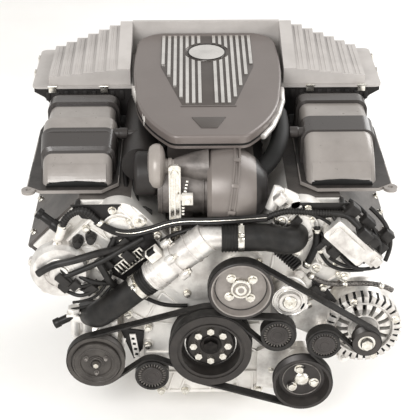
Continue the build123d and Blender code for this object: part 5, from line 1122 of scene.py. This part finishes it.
def add_cast_ribs(sizes):
    """Adds the ribs and rings cast on the timing covers."""
    width, height = sizes.rib_width, sizes.rib_height
    ribs = bmesh.new()
    for run in CASE_RIBS:
        add_front_rib(ribs, run, CASE_FACE, width, height)
    rims = [(-145, -101), (-92, -144), (92, -144), (115, -106), (125, -58), (125, 20)]
    for run in zip(rims, rims[1:]):
        add_front_rib(ribs, run, CASE_FACE, width * 1.6, height)
    for radius in (42, 52):
        add_ring(ribs, at(0, CASE_FACE, 0), FRONT, radius - 1.6, radius + 1.6, -1, 4)
    for side in (-1, 1):
        for out in (-HEAD_BOSS_OUT, HEAD_BOSS_OUT):
            for ring in (30, 19):
                add_ring(ribs, on_bank(side, HEAD_BOSS_UP, out, CASE_FACE), FRONT, ring - 1.5, ring + 1.5, 0, 5.5)
        for start, end in (
            ((216, -86), (216, 88)), ((216, -80), (300, -90)), ((240, -12), (326, -4)), ((220, -40), (262, -46)),
            ((220, 40), (262, 46)), ((332, -60), (332, 60)), ((225, 80), (300, 92)), ((252, -70), (316, -74)),
        ):
            add_rib(ribs, on_bank(side, *start, CASE_FACE), on_bank(side, *end, CASE_FACE), FRONT, width, height)
    finish_piece(ribs, "cast_ribs", "sand-cast aluminium")


def add_plates_and_brackets():
    """Adds the plates at the banks' ends, the black brackets in front of them and dark sheets of painted shade in gaps
    between parts.
    """
    plates, dark = bmesh.new(), bmesh.new()
    for side in (-1, 1):
        add_plate(plates, ((150, 274), (289, 136), (336, 178), (242, 274)), 469, 0.006, 0.0015, side)
        for run in (((300, 160), (236, 226)), ((312, 176), (262, 226)), ((200, 262), (244, 262))):
            add_front_rib(plates, run, 475, 0.006, 0.006, side)
        add_plate(dark, ((164, 280), (258, 280), (238, 252), (196, 246)), 502, 0.003, 0.0008, side)
        for x in (176, 246):
            add_rod(dark, at(side * x, 476, 272), at(side * x, 503, 272), 0.006, sides=16, edge=0.0008)
    for start, end, radius in (
        ((-316, 484, 250), (-284, 490, 226), 8.5), ((-296, 487, 234), (-280, 491, 222), 11),
        ((-322, 483, 255), (-314, 485, 249), 10.5),
    ):
        add_rod(dark, at(*start), at(*end), radius / 1000, edge=0.001)
    add_plate(dark, ((-176, 14), (-128, 6), (-132, -36), (-150, -60)), 508, 0.004, 0.001)
    # The plates at 505 and 501 forward are dark sheets of painted shade: in the gap by the left looms and between the
    # tensioner and the alternator
    for forward, outline in (
        (505, ((-187, 211), (-112, 227), (-94, 188), (-153, 112), (-186, 132))),
        (470, ((-172, 276), (-150, 262), (-120, 258), (-108, 250), (-110, 226), (-152, 240))),
        (501, ((192, 124), (216, 106), (244, 66), (236, 44), (206, 56), (196, 84))),
    ):
        add_plate(dark, outline, forward, 0.003, 0.0008)
    for start, end, radius in (((-298, 512, 26), (-264, 506, 40), 8), ((-301, 512, 24), (-290, 510, 29), 9.5)):
        add_rod(dark, at(*start), at(*end), radius / 1000, edge=0.001)
    finish_piece(plates, "bank_end_plates", "sand-cast aluminium")
    finish_piece(dark, "black_brackets", "satin black paint")


def add_cast_brackets(sizes):
    """Adds the pale ports, arms and ears of the compressor and the alternator, and a slotted strap."""
    cast, slits = bmesh.new(), bmesh.new()
    for start, end, *radii in (
        ((112, 492, 262), (126, 486, 306), 0.0105, 0.0085),
        ((160, 500, 272), (160, 484, 272), 0.0115),
        ((262, 494, -58), (262, 516, -58), 0.0115),
    ):
        add_rod(cast, at(*start), at(*end), *radii, edge=0.001)
    add_rod(cast, at(126, 486, 300), at(160, 488, 284), 0.0055, sides=16)
    for x, top in ((-262, 58), (-240, 50), (-208, 46), (-190, 30)):
        add_rod(cast, at(x, 500, -6), at(x, 508, top), 0.0095, 0.008, edge=0.001)
        add_rod(cast, at(x, 508, top - 8), at(x, 509, top + 3), 0.0122, sides=6, edge=0.001)
    for place, size, angle, edge in (
        ((146, 490, 286), (0.03, 0.016, 0.022), 0.5, 0.002),
        ((-236, 506, 30), (0.086, 0.016, 0.014), 0.25, 0.002),
        ((-190, 508, -24), (0.012, 0.012, 0.062), 0.2, 0.002),
        ((-172, 508, -34), (0.007, 0.01, 0.05), 0.2, 0.0015),
        ((269, 503, -48), (0.02, 0.012, 0.03), 0.4, 0.002),
    ):
        add_block(cast, at(*place), size, leaning(angle), edge)
    add_bolt(cast, at(262, 516, -58), FRONT, sizes.small_bolt_width)
    add_plate(cast, ((-157, 2), (-145, 2), (-137, -52), (-149, -52)), 514, 0.003, 0.0008)
    finish_piece(cast, "cast_brackets", "sand-cast aluminium")
    # The strap's slits are near-black blocks: painted shade inside them
    for index in range(4):
        centre = at(-150 + index * 2.1, 517, -8 - index * 12)
        add_block(slits, centre, (0.0062, 0.0012, 0.0052), leaning(0.15), 0.0003)
    finish_piece(slits, "strap_slits", "socket black")


def add_bosses_and_bolts(sizes):
    """Adds the bosses of the timing covers and the bolts in them."""
    bosses, bolts = bmesh.new(), bmesh.new()
    for x, z in CASE_BOLTS:
        add_rod(bosses, at(x, CASE_FACE - 1, z), at(x, CASE_FACE + 6, z), 0.0105, 0.0092, edge=0.001)
        add_bolt(bolts, at(x, CASE_FACE + 6, z), FRONT, sizes.bolt_width)
    for side, bosses_out, hidden in (
        (-1, ((268, -80), (243, -12), (243, 40)), {(262, 86), (318, 62)}),
        (1, ((268, -80), (243, -12), (243, 40), (268, 92)), {(326, 0), (318, 62)}),
    ):
        for up, out in bosses_out:
            base = on_bank(side, up, out, CASE_FACE - 1)
            add_rod(bosses, base, base + FRONT * 0.011, 0.0135, 0.0115, edge=0.001)
            add_bolt(bolts, on_bank(side, up, out, CASE_FACE + 10), FRONT, sizes.bolt_width)
        for up, out in ((222, -82), (222, 84), (262, -84), (318, -62), (326, 0), (318, 62), (262, 86)):
            if (up, out) not in hidden:
                add_bolt(bolts, on_bank(side, up, out, CASE_FACE + 3), FRONT, sizes.bolt_width)
        for out in (-HEAD_BOSS_OUT, HEAD_BOSS_OUT) if side == 1 else (-HEAD_BOSS_OUT,):
            add_bolts_round(bolts, on_bank(side, HEAD_BOSS_UP, out, CASE_FACE + 4), FRONT, 0.0245, 3, 0.0095, 40)
    finish_piece(bosses, "cast_bosses", "sand-cast aluminium")
    finish_piece(bolts, "casting_bolts", "zinc-plated steel")


def add_slotted_modules():
    """Adds the slotted bracket below the left loom and the finned module below the right one."""
    bracket, fins = bmesh.new(), bmesh.new()
    slope = leaning(math.radians(-40))
    middle = at(-150, 511, 164)
    for lift in (-11, 11):
        add_block(bracket, middle + slope @ Vector((0, 0, lift / 1000)), (0.066, 0.004, 0.0032), slope, 0.0006)
    for index in range(9):
        run = -31.5 + index * 7.9
        add_block(bracket, middle + slope @ Vector((run / 1000, 0, 0)), (0.0034, 0.004, 0.022), slope, 0.0006)
    finish_piece(bracket, "slotted_bracket", "zinc-plated steel")

    seat = at(146, 506, 168)
    add_block(fins, seat, (0.056, 0.008, 0.02), SLANT)
    for index in range(9):
        run = -25 + index * 6.2
        add_block(fins, seat + SLANT @ Vector((run / 1000, -0.006, 0)), (0.0028, 0.012, 0.022), SLANT, 0.0005)
    finish_piece(fins, "finned_module", "glass-filled polyamide")


class ENGINE_OT_front_castings(Operator):
    """Add ribs, bosses and bolts to the timing covers and the front of the engine"""

    bl_idname = "engine.front_castings"
    bl_label = "Front castings"

    def execute(self, context):
        """Adds the cast ribs first, then plates, brackets, bosses, bolts and modules."""
        sizes = context.scene.engine_sizes
        add_cast_ribs(sizes)
        add_plates_and_brackets()
        add_cast_brackets(sizes)
        add_bosses_and_bolts(sizes)
        add_slotted_modules()
        return {"FINISHED"}


def add_pulley_bolts():
    """Adds bright bolts that turn with each pulley."""
    for name, finish, body, centre, face, circle, count, across, start in (
        ("water_pulley_bolts", "zinc-plated steel", "water_pump_rotor", WATER_PUMP, 560, 28, 4, 14, 40),
        ("steering_pulley_bolts", "zinc-plated steel", "steering_pump_rotor", STEERING_PUMP, 555, 25, 3, 15, 102),
        ("clutch_rivets", "rubbed pulley rim", "compressor_rotor", COMPRESSOR, 548, 22, 3, 7, 30),
    ):
        bolts = bmesh.new()
        hub = on_shaft(centre, face - 0.2)
        for _, out in round_shaft(count, start):
            spot = hub + out * circle / 1000
            add_rod(bolts, spot, spot + FRONT * 0.002, across / 1500, sides=20, edge=0.0004)
            add_rod(bolts, spot, spot + FRONT * 0.0072, across / 1850, sides=6, edge=0.0006)
        finish_piece(bolts, name, finish, body)


def add_hub_piece(name, finish, body, shaft, turned=(), rings=(), nut=None, slot=None):
    """Adds one piece of a hub: outlines spun round its shaft, flat rings and a hexagon nut."""
    bm = bmesh.new()
    for forward, closed, outline in turned:
        add_turned(bm, on_shaft(shaft, forward), FRONT, outline, closed=closed)
    for forward, *ring in rings:
        add_ring(bm, on_shaft(shaft, forward), FRONT, *ring)
    if nut:
        start, end, radius, edge = nut
        add_rod(bm, on_shaft(shaft, start), on_shaft(shaft, end), radius, sides=6, edge=edge)
    finish_piece(bm, name, finish, body)


def add_pulley_caps():
    """Adds the hub caps, nuts and rings that turn with each pulley."""
    zinc, moulding, pale_paint, oxide = "zinc-plated steel", "black moulding", "rubbed pulley rim", "black-oxide steel"
    water_cap = [(19.4, -1.5), (19.9, 0), (19.9, 6.6), (18.6, 8), (15.4, 8), (14.2, 6), (12.5, 5.2), (11.5, 9.4)]
    water_cap += [(10.2, 11), (6, 11), (5, 8), (0, 8)]
    water_rim = [(57.9, 10.6), (60.6, 10.6), (60.8, 12.4), (59, 13.4), (56.6, 13), (54.6, 11)]
    steering_cap = [(15, -1), (15.6, 1.5), (14, 3.4), (11.6, 5.4), (7, 6.4), (0, 6.4)]
    collar = [(17.2, -1), (17.2, 2.2), (15, 3), (12.4, 3.2), (12.4, -1)]
    clutch_rings = [(549, inner, outer, -0.5, 3.2) for inner, outer in ((10, 13), (33, 35.5), (42, 44.5))]

    put = partial(add_hub_piece, body="water_pump_rotor", shaft=WATER_PUMP)
    put("water_pulley_cap", zinc, turned=[(WATER_HUB, False, water_cap)])
    put("water_pulley_rim", moulding, turned=[(MAIN_BELT, True, water_rim)], slot="black_paint")
    # The ring inside the rim is dark: painted shade
    put("water_pulley_groove", moulding, rings=[(WATER_HUB, 47.5, 57.6, -0.6, 1.2)], slot="black_paint")
    put = partial(add_hub_piece, body="steering_pump_rotor", shaft=STEERING_PUMP, slot="black_paint")
    put("steering_pulley_cap", zinc, turned=[(STEERING_HUB, False, steering_cap)])
    put("steering_pulley_ring", pale_paint, rings=[(STEERING_HUB, 36, 38, -0.5, 1.6)])
    put = partial(add_hub_piece, body="compressor_rotor", shaft=COMPRESSOR, slot="zinc_steel")
    put("clutch_plate_rings", "painted pulley of the compressor", rings=clutch_rings)
    put("compressor_hub_nut", zinc, nut=(554, 560, 0.0055, 0.0006))
    put = partial(add_hub_piece, body="alternator_rotor", shaft=ALTERNATOR)
    put("alternator_nut", zinc, turned=[(571, True, collar)], nut=(573, 582, 0.0118, 0.0008))
    put = partial(add_hub_piece, body="crank_assembly", shaft=CRANK)
    put("damper_hub_ring", oxide, rings=[(551, 43, 45.6, -0.5, 1.6)], slot="black_paint")
    put("damper_bright_ring", "machined aluminium", rings=[(543, 47.5, 50.5, -0.5, 3.5)], slot="zinc_steel")
    put("crank_centre_bolt", oxide, rings=[(551, 12, 20.5, 0, 4)], nut=(553, 563, 0.0150, 0.0012))


def add_belt_wheels():
    """Adds the dust cap and the web's ribs of the three smooth belt wheels."""
    cap = [(0, 11.6), (15.2, 11.6), (15.2, 8.6), (16.6, 8.4), (16.6, 5.2), (20.6, 5.2), (20.6, 12.4), (19.6, 13.4)]
    cap += [(14.6, 13.4), (14, 12.6), (8.4, 12.6), (7.8, 13.4), (0, 13.6)]
    for name, body, centre, plane, track in (
        ("tensioner_wheel", "tensioner_wheel", TENSIONER_WHEEL, MAIN_BELT, 32),
        ("guide_wheel", "guide_wheel", GUIDE_WHEEL, MAIN_BELT, 30),
        ("idler_wheel", "ac_idler_wheel", COMPRESSOR_IDLER, COMPRESSOR_BELT, 33),
    ):
        add_hub_piece(name + "_dust_cap", "black moulding", body, centre, [(plane, False, cap)], slot="black_plastic")
        # The web ribs are painted pale grey: a painted highlight
        teeth = bmesh.new()
        size = ((track - 26) / 1000, 0.0055, 0.0017)
        for angle, out in round_shaft(28):
            middle = on_shaft(centre, plane) + out * (track + 15.5) / 2000 + FRONT * 0.0075
            add_block(teeth, middle, size, leaning(-angle), 0.0003)
        finish_piece(teeth, name + "_web_ribs", "pale-edged polyamide", body)


def add_tensioner_rings():
    """Adds the cast rings and the lug of the belt tensioner, and its cap."""
    rings = bmesh.new()
    for inner, outer, run in ((31, 33.6, 3.4), (23.5, 25.5, 4.4), (14.5, 17.5, 8.6)):
        add_ring(rings, on_shaft(TENSIONER, 545), FRONT, inner, outer, -1, run)
    lug = at(176, 534, 82)
    add_rod(rings, lug, lug + FRONT * 0.014, 0.0085, edge=0.001)
    finish_piece(rings, "tensioner_rings", "machined aluminium", "tensioner_lever")
    cap = [(13.6, 0.1), (13.6, 2), (12, 3.4), (4.5, 3.4), (4, 1.4), (0, 1.4)]
    add_hub_piece("tensioner_cap", "zinc-plated steel", ROOT, TENSIONER, [(554, False, cap)])


def add_plugs_and_leads():
    """Adds plugs, sensors and small boxes round the upper covers, then the leads between them."""
    black, pale = bmesh.new(), bmesh.new()
    for x, forward, z, size in PLUGS:
        add_block(black, at(x, forward, z), size, SLANT, 0.0018)
    for x, z in ((-247, 206), (-222, 214)):
        add_rod(black, at(x, 500, z), at(x, 516, z), 0.0115, 0.0098, edge=0.0015)
        add_rod(black, at(x, 514, z), at(x, 526, z), 0.0075, edge=0.001)
    finish_piece(black, "plugs_and_sensors", "glass-filled polyamide")
    for x, forward, z, size in (
        (253, 538, 214, (0.07, 0.006, 0.026)),
        (310, 534, 170, (0.016, 0.008, 0.018)),
        (128, 508, 292, (0.018, 0.02, 0.02)),
        (-210, 508, 150, (0.022, 0.012, 0.016)),
    ):
        add_block(pale, at(x, forward, z), size, SLANT, 0.0016)
    finish_piece(pale, "pale_housings", "die-cast aluminium")
    for name, radius, points in LEADS:
        add_tube(name, points, radius, "wrapped hose rubber")


def add_unit_details(sizes):
    """Adds the rings, cage and through bolts of the alternator, and those of the pumps and the compressor."""
    hub = on_shaft(ALTERNATOR, ALTERNATOR_FRONT)
    case, shaded, cage = bmesh.new(), bmesh.new(), bmesh.new()
    add_ring(case, hub, FRONT, 56, 59, -2, 2.4, steps=64)
    add_ring(case, hub, FRONT, 27, 31, -2, 3.4)
    add_ring(shaded, hub, FRONT, 60.5, 69.6, -1, 0.7, steps=64)
    add_ring(shaded, on_shaft(ALTERNATOR, 510), FRONT, 70.6, 71.7, -12, 8, steps=64)
    for angle, out in round_shaft(30, 4):
        add_block(cage, hub + out * 0.0655, (0.0145, 0.0036, 0.0092), leaning(-angle), 0.0007)
        add_block(cage, hub + out * 0.0715 + REAR * 0.010, (0.0038, 0.023, 0.0098), leaning(-angle), 0.0007)
    finish_piece(case, "alternator_rings", "die-cast aluminium")
    finish_piece(shaded, "alternator_vent_shade", "socket black")
    finish_piece(cage, "alternator_cage", "die-cast aluminium")

    bolts = bmesh.new()
    add_bolts_round(bolts, hub, FRONT, 0.0635, 4, sizes.bolt_width, 20)
    add_bolts_round(bolts, on_bank(-1, *VACUUM_PUMP, 516), FRONT, 0.052, 5, 0.0095, 20)
    add_bolts_round(bolts, on_shaft(COMPRESSOR, 500), FRONT, 0.043, 5, 0.009, 10)
    finish_piece(bolts, "unit_bolts", "zinc-plated steel")

    face = bmesh.new()
    centre = on_bank(-1, *VACUUM_PUMP, 530)
    for inner, outer, run in ((42, 45, -3), (28, 30.5, 3.6), (19, 21.5, 5)):
        add_ring(face, centre, FRONT, inner, outer, run - 5, run)
    for _, out in round_shaft(6, 12):
        add_rib(face, centre + out * 0.022, centre + out * 0.044 + REAR * 0.0035, FRONT, 0.003, 0.003)
    finish_piece(face, "vacuum_pump_face", "die-cast aluminium")


class ENGINE_OT_accessories(Operator):
    """Add bolts, caps, rings and plugs to the driven units"""

    bl_idname = "engine.accessories"
    bl_label = "Driven units"

    def execute(self, context):
        """Adds what turns with the pulleys and belt wheels, then plugs, leads and rings on fixed units."""
        add_pulley_bolts()
        add_pulley_caps()
        add_belt_wheels()
        add_tensioner_rings()
        add_plugs_and_leads()
        add_unit_details(context.scene.engine_sizes)
        return {"FINISHED"}


def add_side_bolts_and_plugs(sizes):
    """Adds the bolts and core plugs of the heads, the covers and the block."""
    bolts, plugs = bmesh.new(), bmesh.new()
    for side in (-1, 1):
        outward = Vector((side * BANK, 0, -BANK))
        for index in range(7):
            place = on_bank(side, 369, 108, 26 + index * 68)
            add_bolt(bolts, place, (side * BANK, 0, BANK), sizes.small_bolt_width)
        for index in range(4):
            for shift in (-22, 22):
                add_bolt(bolts, on_bank(side, 205, 106, 68 + index * 98 + shift), outward, sizes.small_bolt_width)
        for index in range(8):
            add_bolt(bolts, at(side * 121, 24 + index * 54, -66), UP, sizes.small_bolt_width)
        for index in range(3):
            centre = on_bank(side, 160, 66, 117 + index * 98) - outward * 0.001
            add_turned(plugs, centre, outward, [(17, 0), (17, 2.5), (15, 3), (13.5, 1.6), (0, 1.6)])
        for out in (-48, 48):
            centre = on_bank(side, 246, out, 8.5)
            add_turned(plugs, centre, REAR, [(19, 0), (19, 2.5), (17, 3), (15.5, 1.6), (0, 1.6)])
    finish_piece(bolts, "side_bolts", "zinc-plated steel")
    finish_piece(plugs, "core_plugs", "zinc-plated steel")


def add_side_ribs():
    """Adds the ribs of the block's sides and back, and those of the head covers' outer walls."""
    ribs, wall = bmesh.new(), bmesh.new()
    for side in (-1, 1):
        for index in range(6):
            forward = 40 + index * 70
            start, end = at(side * 115, forward, -52), at(side * 115, forward, 28)
            add_rib(ribs, start, end, RIGHT * side, 0.007, 0.007)
        add_rib(ribs, at(side * 115, 14, -8), at(side * 115, 420, -8), RIGHT * side, 0.006, 0.006)
        for start, end in (((222, -84), (222, 84)), ((226, 0), (292, 0)), ((288, -84), (288, 84))):
            add_rib(ribs, on_bank(side, *start, 8), on_bank(side, *end, 8), REAR, 0.005, 0.004)
        runs = [((306, 26 + index * 68), (364, 26 + index * 68)) for index in range(7)]
        for start, end in runs + [((up, 8), (up, 464)) for up in (304, 362)]:
            start, end = (on_bank(side, up, 120, forward) for up, forward in (start, end))
            add_rib(wall, start, end, Vector((side * BANK, 0, -BANK)), 0.006, 0.005)
    finish_piece(ribs, "block_ribs", "sand-cast aluminium")
    finish_piece(wall, "head_cover_ribs", "dark crinkle paint")


class ENGINE_OT_sides(Operator):
    """Add bolts, ribs and plugs to the block, the heads and their covers"""

    bl_idname = "engine.sides"
    bl_label = "Block, heads and covers"

    def execute(self, context):
        """Adds what the sides and the back show."""
        add_side_bolts_and_plugs(context.scene.engine_sizes)
        add_side_ribs()
        return {"FINISHED"}


class ENGINE_PT_panel(Panel):
    """Lists the steps that dress the engine"""

    bl_label = "Complete V8 Engine"
    bl_idname = "ENGINE_PT_panel"
    bl_space_type = "VIEW_3D"
    bl_region_type = "UI"
    bl_category = "Engine"

    def draw(self, context):
        """Draws the sizes, the colours and one button for each step."""
        layout = self.layout
        for group in (context.scene.engine_sizes, context.scene.engine_colours):
            box = layout.box()
            for name in group.__annotations__:
                box.prop(group, name)
        for step in STEPS:
            layout.operator(step.bl_idname)


STEPS = (
    ENGINE_OT_finishes,
    ENGINE_OT_wiring,
    ENGINE_OT_hose_fittings,
    ENGINE_OT_top_cover,
    ENGINE_OT_airbox,
    ENGINE_OT_drum,
    ENGINE_OT_front_castings,
    ENGINE_OT_accessories,
    ENGINE_OT_sides,
    ENGINE_OT_stage,
)
CLASSES = (EngineSizes, EngineColours, *STEPS, ENGINE_PT_panel)


def register():
    """Registers the add-on's classes and its settings."""
    for kind in CLASSES:
        bpy.utils.register_class(kind)
    bpy.types.Scene.engine_sizes = PointerProperty(type=EngineSizes)
    bpy.types.Scene.engine_colours = PointerProperty(type=EngineColours)


def unregister():
    """Removes the add-on's classes and its settings."""
    del bpy.types.Scene.engine_colours
    del bpy.types.Scene.engine_sizes
    for kind in reversed(CLASSES):
        bpy.utils.unregister_class(kind)


def main():
    register()
    bpy.ops.engine.finishes()
    bpy.ops.engine.wiring()
    bpy.ops.engine.hose_fittings()
    bpy.ops.engine.top_cover()
    bpy.ops.engine.airbox()
    bpy.ops.engine.drum()
    bpy.ops.engine.front_castings()
    bpy.ops.engine.accessories()
    bpy.ops.engine.sides()
    bpy.ops.engine.stage()


if __name__ == "__main__":
    main()
